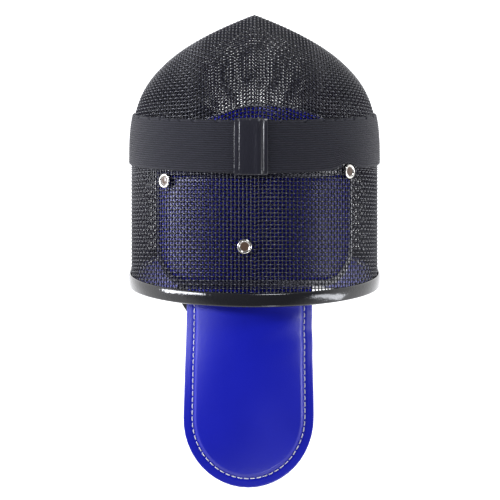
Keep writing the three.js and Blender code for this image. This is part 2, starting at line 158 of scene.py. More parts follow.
def crown_place(angle, u):
    """Round the crown: an angle from the top towards the wearer's left, and u."""
    angle, u = np.broadcast_arrays(angle, u)
    origin = np.stack([0 * u, u, 0 * u + HALF_WIDTH], -1)
    return meet_wall(origin, np.stack([np.sin(angle), 0 * u, -np.cos(angle)], -1))


def over_crown(angle, u, lift):
    """Points a lift above the wire, square to it."""
    normals = wall_normals(crown_place, angle, u, radians(0.5), 0.0008)
    return crown_place(angle, u) + np.asarray(lift)[..., None] * normals


def rim_place(turn, forward):
    """Round the rim: a turn from the crown, and a distance forward of the rim plane."""
    turn, forward = np.broadcast_arrays(turn, forward)
    zero = 0 * forward
    origin = np.stack([zero, RIM_MIDDLE * tan(RIM_TILT) + forward, zero + RIM_MIDDLE], -1)
    tilt = np.stack([-np.cos(turn) * sin(RIM_TILT), -np.cos(turn) * cos(RIM_TILT)], -1)
    return meet_wall(origin, np.concatenate([np.sin(turn)[..., None], tilt], -1))


def rim_normals(turn, forward):
    """Outward normals of the wall near the rim."""
    return wall_normals(rim_place, turn, forward, radians(1.5), 0.0015)


def to_row(points):
    """From the bowl's frame to the row's: pitched about X, with the seat at the origin."""
    x, u, q = np.moveaxis(np.asarray(points, float) - np.array(SEAT), -1, 0)
    y = -u * cos(CROWN_PITCH) - q * sin(CROWN_PITCH)
    z = u * sin(CROWN_PITCH) - q * cos(CROWN_PITCH)
    return np.stack([x, y, z], -1)


def smooth(value, low=0.0, high=1.0):
    """An S curve from 0 at low to 1 at high."""
    share = np.clip((value - low) / (high - low), 0, 1)
    return share * share * (3 - 2 * share)


def bump(value, width):
    """A bell of height 1 that has fallen to a third at its width."""
    return np.exp(-((value / width) ** 2))


def wobble(a, b, seed):
    """A slow uneven wave of two parameters, about -1 to 1: five sines with seeded directions."""
    dice = np.random.default_rng(seed)
    total = 0
    for size in (1.0, 0.8, 0.6, 0.5, 0.4):
        turn, phase = dice.uniform(0, 2 * pi, 2)
        pitch = dice.uniform(0.6, 1.6) / size
        total = total + size * np.sin(pitch * (a * cos(turn) + b * sin(turn)) + phase)
    return total / 2.2


# Meshes


def grid_quads(rows, columns, wrap_rows=False, wrap_columns=False, start=0):
    """Quads between neighbouring points of a grid that is counted row by row."""
    row = np.arange(rows if wrap_rows else rows - 1)[:, None]
    column = np.arange(columns if wrap_columns else columns - 1)[None, :]
    below, beside = (row + 1) % rows, (column + 1) % columns
    corners = [(row, column), (row, beside), (below, beside), (below, column)]
    return np.stack([r * columns + c + start for r, c in corners], -1).reshape(-1, 4)


def fan(ring, tip):
    """Triangles from a closed ring of point numbers to one tip."""
    return np.stack([ring, np.roll(ring, -1), np.full(len(ring), tip)], -1)


def signed_volume(points, faces):
    """The volume that faces enclose, negative where they point inwards."""
    total = 0.0
    for face in faces:
        for k in range(1, face.shape[1] - 1):
            a, b, c = points[face[:, 0]], points[face[:, k]], points[face[:, k + 1]]
            total += np.sum(a * np.cross(b, c)) / 6
    return total


def new_object(name, data):
    """An object in the scene for a mesh, a lamp or a camera."""
    made = bpy.data.objects.new(name, data)
    bpy.context.scene.collection.objects.link(made)
    return made


def add_piece(name, points, faces, material, nodes=(), uv=None):
    """A mesh object from points in the bowl's frame and arrays of faces, riding on the body."""
    points = to_row(points)
    if signed_volume(points, faces) < 0:
        faces = [face[:, ::-1] for face in faces]
    counts = np.concatenate([np.full(len(face), face.shape[1]) for face in faces])
    corners = np.concatenate([face.reshape(-1) for face in faces]).astype(np.int32)
    starts = np.concatenate([[0], np.cumsum(counts)[:-1]])
    mesh = bpy.data.meshes.new(name)
    mesh.vertices.add(len(points))
    mesh.vertices.foreach_set("co", points.astype(np.float32).ravel())
    mesh.loops.add(len(corners))
    mesh.loops.foreach_set("vertex_index", corners)
    mesh.polygons.add(len(counts))
    mesh.polygons.foreach_set("loop_start", starts.astype(np.int32))
    mesh.polygons.foreach_set("loop_total", counts.astype(np.int32))
    mesh.update(calc_edges=True)
    if uv is not None:
        layer = mesh.uv_layers.new(name="Surface")
        layer.data.foreach_set("uv", np.asarray(uv, np.float32)[corners].ravel())
    mesh.polygons.foreach_set("use_smooth", np.ones(len(counts), bool))
    mesh.validate()
    mesh.materials.append(material)
    piece = new_object(name, mesh)
    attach(piece, "root")
    if nodes:
        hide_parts(*nodes)
    return piece


def add_loft(name, grid, material, nodes=(), uv=None, ring=False):
    """A closed solid from loops of points: its ends are fans, or it closes on itself."""
    rows, columns = grid.shape[:2]
    points = grid.reshape(-1, 3)
    faces = [grid_quads(rows, columns, wrap_rows=ring, wrap_columns=True)]
    if not ring:
        tips = np.stack([grid[0].mean(0), grid[-1].mean(0)])
        count = len(points)
        points = np.concatenate([points, tips])
        first, last = np.arange(columns), np.arange(columns) + (rows - 1) * columns
        faces.append(np.concatenate([fan(first, count)[:, ::-1], fan(last, count + 1)]))
        if uv is not None:
            uv = np.concatenate([uv.reshape(-1, 2), uv[0].mean(0)[None], uv[-1].mean(0)[None]])
    elif uv is not None:
        uv = uv.reshape(-1, 2)
    return add_piece(name, points, faces, material, nodes, uv)


def tubes(paths, normals, crests, radius, sides):
    """Round wires along paths: a ring of points square to each path point, and pointed ends.

    A point's UV is its share round the ring, and how near it is to the top of a crest.
    """
    all_points, all_quads, all_fans, all_uv = [], [], [], []
    start = 0
    turns = 2 * pi * np.arange(sides) / sides
    for path, normal, crest in zip(paths, normals, crests):
        forward = unit(np.gradient(path, axis=0))
        side = unit(np.cross(forward, normal))
        up = np.cross(side, forward)
        round_up = np.cos(turns)[None, :, None] * up[:, None]
        round_side = np.sin(turns)[None, :, None] * side[:, None]
        rings = path[:, None] + radius * (round_up + round_side)
        count = len(path)
        last = start + count * sides
        all_points += [rings.reshape(-1, 3), path[[0, -1]]]
        all_quads.append(grid_quads(count, sides, wrap_columns=True, start=start))
        ring = np.arange(sides) + start
        all_fans += [fan(ring, last)[:, ::-1], fan(ring + (count - 1) * sides, last + 1)]
        high = crest[:, None] * np.maximum(0, np.cos(turns))[None, :]
        around = np.broadcast_to(turns / (2 * pi), high.shape)
        all_uv += [np.stack([around, high], -1).reshape(-1, 2), np.zeros((2, 2))]
        start = last + 2
    faces = [np.concatenate(all_quads), np.concatenate(all_fans)]
    return np.concatenate(all_points), faces, np.concatenate(all_uv)


# Finishes


def node_group(name, inputs, outputs):
    """An empty shader group with float inputs (name, default) and named outputs."""
    group = bpy.data.node_groups.new(name, "ShaderNodeTree")
    for label, default in inputs:
        socket = group.interface.new_socket(label, in_out="INPUT", socket_type="NodeSocketFloat")
        socket.default_value = default
    for label in outputs:
        group.interface.new_socket(label, in_out="OUTPUT", socket_type="NodeSocketFloat")
    source = group.nodes.new("NodeGroupInput")
    target = group.nodes.new("NodeGroupOutput")
    return group, source, target


def math_node(tree, operation, first, second=None, clamp=False):
    """A Math node on values or sockets."""
    node = tree.nodes.new("ShaderNodeMath")
    node.operation = operation
    node.use_clamp = clamp
    for socket, value in zip(node.inputs, (first, second)):
        if value is None:
            continue
        if isinstance(value, bpy.types.NodeSocket):
            tree.links.new(value, socket)
        else:
            socket.default_value = value
    return node.outputs[0]


def multiplied(tree, first, second, clamp=False):
    """The product of two values or sockets."""
    return math_node(tree, "MULTIPLY", first, second, clamp)


def added(tree, first, second, clamp=False):
    """The sum of two values or sockets."""
    return math_node(tree, "ADD", first, second, clamp)


def object_place(tree):
    """A point's place on its piece, in metres."""
    return tree.nodes.new("ShaderNodeTexCoord").outputs["Object"]


def separated(tree, vector):
    """A vector split into its parts."""
    node = tree.nodes.new("ShaderNodeSeparateXYZ")
    tree.links.new(vector, node.inputs["Vector"])
    return node


def faded(tree, value, low, high, start=0.0, end=1.0, kind="SMOOTHSTEP"):
    """A value that goes from start to end as another goes from low to high."""
    node = tree.nodes.new("ShaderNodeMapRange")
    node.interpolation_type = kind
    tree.links.new(value, node.inputs["Value"])
    for label, limit in (("From Min", low), ("From Max", high), ("To Min", start), ("To Max", end)):
        node.inputs[label].default_value = limit
    return node.outputs["Result"]


def noise_node(tree, vector, scale, detail=3.0):
    """Uneven noise from 0 to 1, whose scale is a number or a socket."""
    node = tree.nodes.new("ShaderNodeTexNoise")
    node.inputs["Detail"].default_value = detail
    tree.links.new(vector, node.inputs["Vector"])
    if isinstance(scale, bpy.types.NodeSocket):
        tree.links.new(scale, node.inputs["Scale"])
    else:
        node.inputs["Scale"].default_value = scale
    return node.outputs["Fac"]


def grain_group():
    """Vinyl grain: small rounded cells with a broad unevenness, and a roughness that follows."""
    inputs = [("Cell Scale", 900.0), ("Patch Scale", 14.0), ("Roughness", 0.3), ("Spread", 0.12)]
    tree, source, target = node_group("Vinyl grain", inputs, ["Height", "Roughness", "Patch"])
    where = object_place(tree)
    cells = tree.nodes.new("ShaderNodeTexVoronoi")
    cells.feature = "SMOOTH_F1"
    tree.links.new(where, cells.inputs["Vector"])
    tree.links.new(source.outputs["Cell Scale"], cells.inputs["Scale"])
    patch = noise_node(tree, where, source.outputs["Patch Scale"], 4.0)
    height = added(tree, cells.outputs["Distance"], patch)
    centred = math_node(tree, "SUBTRACT", patch, 0.5)
    spread = multiplied(tree, centred, source.outputs["Spread"])
    rough = added(tree, source.outputs["Roughness"], spread, clamp=True)
    tree.links.new(height, target.inputs["Height"])
    tree.links.new(rough, target.inputs["Roughness"])
    tree.links.new(patch, target.inputs["Patch"])
    return tree


def weave_group():
    """Plain cloth weave on the piece's own UV map: crossed threads, and a fuzz between them."""
    inputs = [("Across", 900.0), ("Along", 900.0), ("Fuzz", 0.35)]
    tree, source, target = node_group("Cloth weave", inputs, ["Height", "Tone"])
    split = surface_uv(tree)
    waves = []
    for axis, label in (("X", "Across"), ("Y", "Along")):
        scaled = multiplied(tree, split.outputs[axis], source.outputs[label])
        waves.append(math_node(tree, "SINE", multiplied(tree, scaled, 2 * pi)))
    product = multiplied(tree, waves[0], waves[1])
    where = object_place(tree)
    fuzz = multiplied(tree, noise_node(tree, where, 2500.0), source.outputs["Fuzz"])
    height = added(tree, multiplied(tree, product, 0.5), fuzz)
    tree.links.new(height, target.inputs["Height"])
    # Painted shade: the tone follows the height, darker in the weave's hollows and lighter on the
    # thread tops, with the fuzz's uneven tone
    tree.links.new(added(tree, height, 0.5, clamp=True), target.inputs["Tone"])
    return tree


def group_node(tree, name, **values):
    """A shared effect placed in a material, with its own values."""
    node = tree.nodes.new("ShaderNodeGroup")
    node.node_tree = bpy.data.node_groups[name]
    for label, value in values.items():
        node.inputs[label.replace("_", " ")].default_value = value
    return node


def new_material(name, **sockets):
    """A Principled material whose uniform values stand on its own sockets."""
    material = bpy.data.materials.new(name)
    material.use_nodes = True
    shader = material.node_tree.nodes["Principled BSDF"]
    for label, value in sockets.items():
        shader.inputs[label.replace("_", " ")].default_value = value
    return material, material.node_tree, shader


def tint(tree, shader, dark, light, factor):
    """Base colour between two tones by a factor that varies over the surface."""
    mix = tree.nodes.new("ShaderNodeMix")
    mix.data_type = "RGBA"
    mix.inputs[6].default_value = (*dark, 1)
    mix.inputs[7].default_value = (*light, 1)
    tree.links.new(factor, mix.inputs[0])
    tree.links.new(mix.outputs[2], shader.inputs["Base Color"])


def relief(tree, shader, height, distance, strength=1.0):
    """Bump from a height that varies over the surface."""
    node = tree.nodes.new("ShaderNodeBump")
    node.inputs["Distance"].default_value = distance
    node.inputs["Strength"].default_value = strength
    tree.links.new(height, node.inputs["Height"])
    tree.links.new(node.outputs["Normal"], shader.inputs["Normal"])


def tone(colour, factor):
    """A colour made lighter or darker by a factor."""
    return tuple(min(1.0, channel * factor) for channel in colour)


def vinyl(name, colour, roughness, cells, depth, coat=0.0):
    """Coated cloth or soft plastic: a fine grain, and gloss that varies in broad patches."""
    material, tree, shader = new_material(name, Coat_Weight=coat, Coat_Roughness=0.12)
    grain = group_node(tree, "Vinyl grain", Cell_Scale=cells, Roughness=roughness)
    tint(tree, shader, tone(colour, 0.85), tone(colour, 1.2), grain.outputs["Patch"])
    tree.links.new(grain.outputs["Roughness"], shader.inputs["Roughness"])
    relief(tree, shader, grain.outputs["Height"], depth)
    return material


def cloth(name, colour, across, along, depth, roughness=0.85, sheen=0.3, fuzz=0.35):
    """Woven cloth or tape, whose threads follow the piece's own UV map in metres."""
    material, tree, shader = new_material(
        name, Roughness=roughness, Sheen_Weight=sheen, Sheen_Roughness=0.4
    )
    weave = group_node(tree, "Cloth weave", Across=across, Along=along, Fuzz=fuzz)
    # The weave's tone darkens the hollows between threads as painted shade
    tint(tree, shader, tone(colour, 0.65), tone(colour, 1.35), weave.outputs["Tone"])
    relief(tree, shader, weave.outputs["Height"], depth)
    return material


def tape_with_painted_shade(tape_white, painted_shade):
    """White tape with painted shade towards the wearer's left, where it darkens to a navy grey."""
    material, tree, shader = new_material("Binding tape", Roughness=0.8)
    weave = group_node(tree, "Cloth weave", Across=900.0, Along=1100.0)
    where = object_place(tree)
    patchy = multiplied(tree, noise_node(tree, where, 45.0), 0.06)
    place = added(tree, separated(tree, where).outputs["X"], patchy)
    # Painted shade: the tape goes from white to a dark navy grey towards the wearer's left
    tint(tree, shader, tape_white, painted_shade, faded(tree, place, -0.045, 0.020))
    relief(tree, shader, weave.outputs["Height"], 0.00015)
    return material


def ribbed_elastic(colour, ribs_per_metre):
    """Elastic webbing: ribs with painted shade in the grooves between, crossed by fine slack
    threads.
    """
    material, tree, shader = new_material(
        "Ribbed elastic", Roughness=0.6, Specular_IOR_Level=0.22, Sheen_Weight=0.1
    )
    split = surface_uv(tree)
    across = multiplied(tree, split.outputs["X"], 2 * pi * ribs_per_metre)
    wave = math_node(tree, "COSINE", across)
    rib = added(tree, multiplied(tree, wave, 0.5), 0.5)
    along = multiplied(tree, split.outputs["Y"], 2 * pi * 1100.0)
    thread = multiplied(tree, math_node(tree, "SINE", along), 0.18)
    where = object_place(tree)
    fuzz = multiplied(tree, noise_node(tree, where, 500.0), 0.6)
    height = added(tree, added(tree, rib, thread), fuzz)
    # Painted shade: the tone follows the height, dark in the grooves and light on the rib tops
    shade = multiplied(tree, height, 0.6, clamp=True)
    tint(tree, shader, tone(colour, 0.25), tone(colour, 2.0), shade)
    relief(tree, shader, height, 0.00025)
    return material


def wire_paint(colour, worn_and_glint):
    """Glossy paint on wire, lighter on the outward tops of the knuckles where one wire crosses over
    another: rubbed paint and painted glint.
    """
    material, tree, shader = new_material("Painted wire", Specular_IOR_Level=0.4)
    where = object_place(tree)
    crest = math_node(tree, "MAXIMUM", surface_uv(tree).outputs["Y"], 0.0)
    patch = noise_node(tree, where, 900.0, 2.0)
    rubbed_and_glint = multiplied(tree, math_node(tree, "POWER", crest, 4.0), patch)
    # Rubbed paint and painted glint: the outward tops of the crests are lightened towards a pale
    # grey
    tint(tree, shader, colour, worn_and_glint, multiplied(tree, rubbed_and_glint, 1.6, clamp=True))
    rough = added(tree, multiplied(tree, patch, 0.2), 0.14)
    tree.links.new(rough, shader.inputs["Roughness"])
    relief(tree, shader, noise_node(tree, where, 1800.0), 0.00001)
    return material


def surface_uv(tree):
    """The piece's own UV map, split into its two parts."""
    uv = tree.nodes.new("ShaderNodeUVMap")
    uv.uv_map = "Surface"
    return separated(tree, uv.outputs["UV"])


def plated_metal(plate, dish):
    """Nickel plate with fine scratches, and a painted reflection in each dish: a dark warm brown,
    not metallic, for the dark surroundings the plate would mirror there.
    """
    material, tree, shader = new_material("Nickel plate")
    where = object_place(tree)
    patch = noise_node(tree, where, 220.0, 5.0)
    outside = faded(tree, surface_uv(tree).outputs["Y"], 0.60, 0.68, kind="LINEAR")
    # Painted reflection: inside the dish the colour turns dark brown and the metal is switched off
    tint(tree, shader, dish, plate, outside)
    tree.links.new(outside, shader.inputs["Metallic"])
    rough = added(tree, multiplied(tree, patch, 0.2), 0.08)
    tree.links.new(rough, shader.inputs["Roughness"])
    relief(tree, shader, noise_node(tree, where, 3000.0), 0.00002)
    return material


# Sizes and colours


def length(name, description, default):
    """A size in metres."""
    return FloatProperty(name=name, description=description, default=default, unit="LENGTH")


def angle(name, description, default):
    """An angle in radians."""
    return FloatProperty(name=name, description=description, default=default, unit="ROTATION")


def colour(name, description, default):
    """A colour in linear light."""
    return FloatVectorProperty(
        name=name, description=description, default=default,
        size=3, subtype="COLOR", min=0, max=1,
    )


class MaskWireSettings(PropertyGroup):
    pitch: length("Pitch", "Distance between neighbouring wires", 0.0031)
    diameter: length("Wire diameter", "Thickness of one wire", 0.0012)
    crimp: length("Crimp", "How far a wire swings each way from the wall", 0.0005)
    sides: IntProperty(name="Sides", description="Faces round one wire", default=5, min=3)
    seed_line: length("Seed line", "Where the first cross wire lies on the crown", 0.106)
    swept_rows: IntProperty(name="Swept rows", description="Rows drawn back", default=12)
    sweep: FloatProperty(name="Sweep", description="How much closer they lie", default=0.42)
    sweep_width: length("Sweep width", "Distance from the middle at which they do", 0.060)
    paint: colour("Paint", "Colour of the painted wire", (0.006, 0.006, 0.014))
    # Pale colour on the knuckle tops: rubbed paint and painted glint
    worn_and_glint: colour("Worn and glint", "Colour where the paint is rubbed", (0.62, 0.63, 0.70))


class MaskTrimSettings(PropertyGroup):
    width: length("Width", "Depth of the folded trim outside", 0.011)
    inner_width: length("Inner width", "Depth of the folded trim inside", 0.008)
    wall: length("Wall", "Thickness of the trim", 0.0016)
    paint: colour("Colour", "Colour of the trim", (0.014, 0.014, 0.017))


class MaskPaddingSettings(PropertyGroup):
    half_width: length("Crown half width", "Half the crown padding, round the arch", 0.095)
    rear: length("Crown rear", "Rear edge of the crown padding", 0.014)
    span: length("Crown length", "Length of the crown padding", 0.092)
    corner: length("Rear corner", "Radius of its rear corners", 0.036)
    front_corner: length("Front corner", "Radius of its front corners", 0.009)
    horn: length("Horn rise", "How far its front corners reach ahead", 0.006)
    binding: length("Binding width", "Width of the white binding", 0.006)
    brow_half_width: length("Brow half width", "Half the brow padding, round the arch", 0.060)
    brow_turn: angle("Brow turn", "How far the brow padding sits to the right", radians(-6))
    brow_rear: length("Brow rear", "Rear edge of the brow padding", 0.112)
    brow_span: length("Brow length", "Length of the brow padding", 0.047)
    brow_bow: length("Brow bow", "How far its front edge is bowed", 0.015)
    brow_corner: length("Brow corner", "Radius of its corners", 0.014)
    brow_thickness: length("Brow thickness", "Thickness of the brow padding", 0.008)
    brow_clearance: length("Brow clearance", "Space between the wire and the brow padding", 0.0017)
    piping: length("Piping width", "Width of the white piping", 0.0026)
    # Painted shade: the crown padding's navy is a darker copy of the brow padding's blue, for the
    # shade under the wire
    vinyl: colour("Vinyl", "Colour of the padding's cover", (0.004, 0.005, 0.30))
    brow_vinyl: colour("Brow vinyl", "Colour of the brow padding's cover", (0.010, 0.012, 0.60))
    tape: colour("Tape", "Colour of the binding and piping", (0.95, 0.95, 0.97))
    # Painted shade on the binding towards the wearer's left
    painted_shade: colour("Tape in painted shade", "Colour of the binding on the left", (0.05, 0.05, 0.11))


class MaskTongueSettings(PropertyGroup):
    half_width: length("Half width", "Half the width of the tongue", 0.0522)
    span: length("Length", "Length of the tongue from its held end", 0.204)
    root: length("Root", "Where its held end lies under the crown", 0.058)
    tip: length("Tip", "How far its rounded end runs", 0.0566)
    root_corner: length("Root corner", "Radius at its held end", 0.010)
    shift: length("Shift", "How far it sits to the left", 0.005)
    thickness: length("Thickness", "Thickness of the padded middle", 0.007)
    hem: length("Hem width", "Width of the flat hem", 0.0087)
    hem_thickness: length("Hem thickness", "Thickness of the flat hem", 0.003)
    flattening: FloatProperty(name="Flattening", description="How flat its tip is", default=0.8)
    droop: length("Droop", "How far its tip hangs", 0.017)
    stitch_inset: length("Stitch inset", "From the hem's inner edge to the stitches", 0.0012)
    stitch_pitch: length("Stitch pitch", "Distance between stitches", 0.0050)
    stitch: length("Stitch length", "Length of one stitch", 0.0034)
    thread: colour("Thread", "Colour of the stitching", (0.94, 0.95, 1.0))
    vinyl: colour("Vinyl", "Colour of the tongue", (0.004, 0.009, 0.43))
    webbing_width: length("Webbing width", "Width of the tab under the tongue", 0.022)
    webbing_length: length("Webbing length", "Length of the tab", 0.062)
    webbing_thickness: length("Webbing thickness", "Thickness of the tab", 0.0016)
    webbing_turn: angle("Webbing turn", "How slantwise the tab lies", radians(45))
    webbing_forward: length("Webbing forward", "Where the tab crosses the tongue's edge", 0.0045)


class MaskFastenerSettings(PropertyGroup):
    snap: length("Snap diameter", "Diameter of a snap", 0.0114)
    dish: length("Dish diameter", "Diameter of its dished middle", 0.0076)
    height: length("Height", "Height of a head", 0.0022)
    dish_depth: length("Dish depth", "Depth of the dished middle", 0.001)
    post: length("Post diameter", "Diameter of the post", 0.003)
    washer: length("Washer diameter", "Diameter of the washer", 0.009)
    washer_thickness: length("Washer thickness", "Thickness of the washer", 0.0012)
    rivet: length("Rivet diameter", "Diameter of a strap rivet", 0.009)
    plate: colour("Plate", "Colour of the nickel plate", (0.88, 0.86, 0.82))
    # Painted reflection of dark surroundings in the dished middle
    dish_reflection: colour("Dish colour", "Colour of the dished middle", (0.11, 0.07, 0.05))


class MaskStrapSettings(PropertyGroup):
    width: length("Width", "Width of the elastic", 0.041)
    thickness: length("Thickness", "Thickness of the elastic", 0.0015)
    line: length("Line", "Where its middle lies on the crown", 0.123)
    sweep: length("Sweep", "How far ahead it runs down the sides", 0.0125)
    reach: angle("Reach", "How far round the bowl it runs", radians(118))
    rivet_inset: length("Rivet inset", "Distance of a rivet from the end", 0.012)
    push_spread: angle("Push spread", "How widely a snap pushes its edge", radians(7))
    ribs: IntProperty(name="Ribs", description="Ribs across the elastic", default=24)
    rib_height: length("Rib height", "Height of a rib", 0.00022)
    sleeve: length("Sleeve width", "Width of the sleeve at its middle", 0.025)
    sleeve_shift: length("Sleeve shift", "How far the sleeve sits to the left", 0.0029)
    sleeve_wall: length("Sleeve wall", "Thickness of the sleeve", 0.0011)
    sleeve_ramp: angle("Sleeve ramp", "How widely the sleeve lifts the strap", radians(26))
    elastic: colour("Elastic", "Colour of the elastic", (0.013, 0.013, 0.021))
    vinyl: colour("Sleeve colour", "Colour of the sleeve", (0.016, 0.016, 0.024))


class MaskBibSettings(PropertyGroup):
    thickness: length("Thickness", "Thickness of the bib", 0.004)
    start: angle("Start", "Where the bib begins round the rim", radians(100))
    drop: length("Drop", "How far it hangs at the middle", 0.135)
    end_drop: length("End drop", "How far it hangs at its ends", 0.026)
    flare: length("Flare", "How far it stands out below", 0.022)
    cloth: colour("Cloth", "Colour of the cloth", (0.012, 0.016, 0.30))


class MaskStageSettings(PropertyGroup):
    distance: length("Camera distance", "From the crown to the camera", 1.6)
    view_width: length("View width", "Width of the view at the crown", 0.390)
    aim_across: length("Aim across", "Where the camera aims, to the left", 0.0037)
    aim_forward: length("Aim forward", "Where the camera aims, from the rim", 0.043)
    floor_drop: length("Floor drop", "How far below the mask the floor lies", 0.75)
    floor: colour("Floor", "Colour of the floor", (0.95, 0.95, 0.95))
    horizon: FloatProperty(name="Horizon", description="Brightness of the horizon", default=0.95)
    zenith: FloatProperty(name="Zenith", description="Brightness overhead", default=0.06)


def settings(name):
    """The sizes and colours of one group of pieces."""
    return getattr(bpy.context.scene, name)


# The wire

# Where the cross wires are shared out between two pieces, forward of the rim
SPLIT_LINE = 0.145
# How far inside the rim plane the wires end, and how far past it the net is first laid
RIM_CLEARANCE = 0.0004
NET_OVERLAP_KNOTS = 3
# How far a knot may end from its two distances, as a share of the pitch
KNOT_TOLERANCE = 0.1


def distance_map():
    """Distances from the rim's middle to the wall, over the turn and the rise above the rim."""
    turns = np.radians(np.arange(0, 360.25, 0.5))
    rises = np.radians(np.arange(-30, 90.25, 0.5))
    turn, rise = np.meshgrid(turns, rises, indexing="ij")
    origin = np.array([0, RIM_MIDDLE * tan(RIM_TILT), RIM_MIDDLE])
    along = np.stack([
        np.sin(turn) * np.cos(rise),
        -np.cos(turn) * sin(RIM_TILT) * np.cos(rise) + cos(RIM_TILT) * np.sin(rise),
        -np.cos(turn) * cos(RIM_TILT) * np.cos(rise) - sin(RIM_TILT) * np.sin(rise),
    ], -1)
    return np.linalg.norm(meet_wall(origin, along) - origin, axis=-1)


class Wall:
    """The bowl as a smooth height: how far points stand outside the wall, and its normals."""

    def __init__(self):
        self.distances = distance_map()
        self.origin = np.array([0, RIM_MIDDLE * tan(RIM_TILT), RIM_MIDDLE])
        self.axes = np.array([
            [0, -sin(RIM_TILT), -cos(RIM_TILT)],
            [1, 0, 0],
            [0, cos(RIM_TILT), -sin(RIM_TILT)],
        ])

    def height(self, points):
        """Distance from the rim's middle, less that of the wall the same way, from the map."""
        offset = points - self.origin
        up, side, ahead = np.moveaxis(offset @ self.axes.T, -1, 0)
        turn = np.degrees(np.arctan2(side, up)) % 360 * 2
        rise = (np.degrees(np.arctan2(ahead, np.hypot(up, side))) + 30) * 2
        rows, columns = self.distances.shape
        row = np.clip(turn.astype(int), 0, rows - 2)
        column = np.clip(rise.astype(int), 0, columns - 2)
        a, b = turn - row, rise - column
        grid = self.distances
        low = grid[row, column] * (1 - b) + grid[row, column + 1] * b
        high = grid[row + 1, column] * (1 - b) + grid[row + 1, column + 1] * b
        return np.linalg.norm(offset, axis=-1) - (low * (1 - a) + high * a)

    def normals(self, points, step=0.0012):
        """The direction in which the height grows."""
        shifts = step * np.eye(3)
        slope = np.stack([self.height(points + s) - self.height(points - s) for s in shifts], -1)
        return unit(slope)

    def ahead_of_rim(self, points):
        """How far points lie forward of the rim plane."""
        return (points - self.origin) @ self.axes[2]

    def profile(self):
        """The middle line of the bowl: over the crown, down the ridge and under the chin."""
        rises = np.radians(np.arange(-30, 90.25, 0.5))
        crown, chin = self.distances[0], self.distances[360]
        up = np.cos(rises)[:, None] * self.axes[0]
        ahead = np.sin(rises)[:, None] * self.axes[2]
        over = self.origin + crown[:, None] * (up + ahead)
        under = self.origin + chin[:, None] * (-up + ahead)
        return np.concatenate([over, under[::-1][1:]])


def spaced(line, start, pitch):
    """Points a pitch apart along a line, from the one nearest to a start."""
    steps = run_lengths(line)
    first = steps[np.argmin(np.linalg.norm(line - start, axis=1))]
    stops = np.arange(first, steps[-1], pitch)
    return np.stack([np.interp(stops, steps, line[:, axis]) for axis in range(3)], -1)


def net_quarter(wall, lengthwise, crosswise, pitch, swept_rows=0, sweep=0.0, sweep_width=1.0):
    """A draped net: each knot is a pitch from its two neighbours and lies on the wall.

    Knots on one diagonal are found together by Newton's method, from the last diagonal's.
    The swept rows lie closer together away from the middle, which draws the next ones back.
    """
    rows, columns = len(lengthwise), len(crosswise)
    reach = np.full((rows, columns), pitch)
    reach[: swept_rows + 1] *= 1 - sweep * smooth(np.arange(columns) * pitch / sweep_width)
    net = np.full((rows, columns, 3), np.nan)
    net[:, 0], net[0] = lengthwise, crosswise
    for diagonal in range(2, rows + columns - 1):
        i = np.arange(max(1, diagonal - columns + 1), min(rows, diagonal))
        j = diagonal - i
        a, b, c = net[i - 1, j], net[i, j - 1], net[i - 1, j - 1]
        good = np.isfinite(a + b + c).all(axis=1)
        i, j, a, b, c = i[good], j[good], a[good], b[good], c[good]
        if not len(i):
            continue
        knot = a + b - c
        for _ in range(5):
            slope = wall.normals(knot)
            gaps = np.stack([
                np.sum((knot - a) ** 2, -1) - reach[i, j] ** 2,
                np.sum((knot - b) ** 2, -1) - pitch**2,
                wall.height(knot),
            ], -1)
            table = np.stack([2 * (knot - a), 2 * (knot - b), slope], 1)
            table = table + 1e-9 * np.eye(3)
            move = np.linalg.solve(table, gaps[..., None])[..., 0]
            size = np.linalg.norm(move, axis=-1, keepdims=True)
            knot = knot - move * np.minimum(1, pitch / np.maximum(size, TINY))
        off = np.abs(np.linalg.norm(knot - a, axis=-1) - reach[i, j])
        off += np.abs(np.linalg.norm(knot - b, axis=-1) - pitch)
        kept = (off < KNOT_TOLERANCE * pitch) & (knot[:, 0] > 0)
        kept &= wall.ahead_of_rim(knot) > -NET_OVERLAP_KNOTS * pitch
        net[i[kept], j[kept]] = knot[kept]
    return net


def draped_net(wall, own):
    """The whole net as rows forward of the seed line and behind it, mirrored left and right."""
    middle, pitch = wall.profile(), own.pitch
    seed = crown_place(np.array(0.0), np.array(own.seed_line))
    turns = np.radians(np.linspace(0, 178, 400))
    cross = spaced(crown_place(turns, np.full(400, own.seed_line)), seed, pitch)
    swept = (own.swept_rows, own.sweep, own.sweep_width)
    front = net_quarter(wall, spaced(middle, seed, pitch), cross, pitch, *swept)
    back = net_quarter(wall, spaced(middle[::-1], seed, pitch), cross, pitch)
    half = np.concatenate([back[:0:-1], front])
    mirrored = half[:, :0:-1] * np.array([-1, 1, 1])
    net = np.concatenate([mirrored, half], axis=1)
    inside_rim = wall.ahead_of_rim(np.nan_to_num(net)) > RIM_CLEARANCE
    net[~inside_rim] = np.nan
    return net


def runs(present):
    """Start and end of each unbroken run of at least three knots."""
    edges = np.flatnonzero(np.diff(np.concatenate([[0], present.astype(int), [0]])))
    return [(a, b) for a, b in zip(edges[::2], edges[1::2]) if b - a >= 3]


def weave_wires(net, normals, along_rows, height, wear_and_glint):
    """Every wire of one direction, over and under at its knots in turn.

    Each is its path, the wall's normals beside it, and its share of rubbed paint and painted glint,
    which is greatest on crests.
    """
    rows, columns = net.shape[:2]
    parity = (-1.0) ** (np.arange(rows)[:, None] + np.arange(columns)[None, :])
    if along_rows:
        net, normals, parity = net.swapaxes(0, 1), normals.swapaxes(0, 1), -parity.T
    wires = []
    for knots, normal, over in zip(net, normals, parity):
        for start, end in runs(np.isfinite(knots[:, 0])):
            side, crest = normal[start:end], over[start:end]
            path = knots[start:end] + (height * crest)[:, None] * side
            wires.append((path, side, wear_and_glint * crest))
    return wires


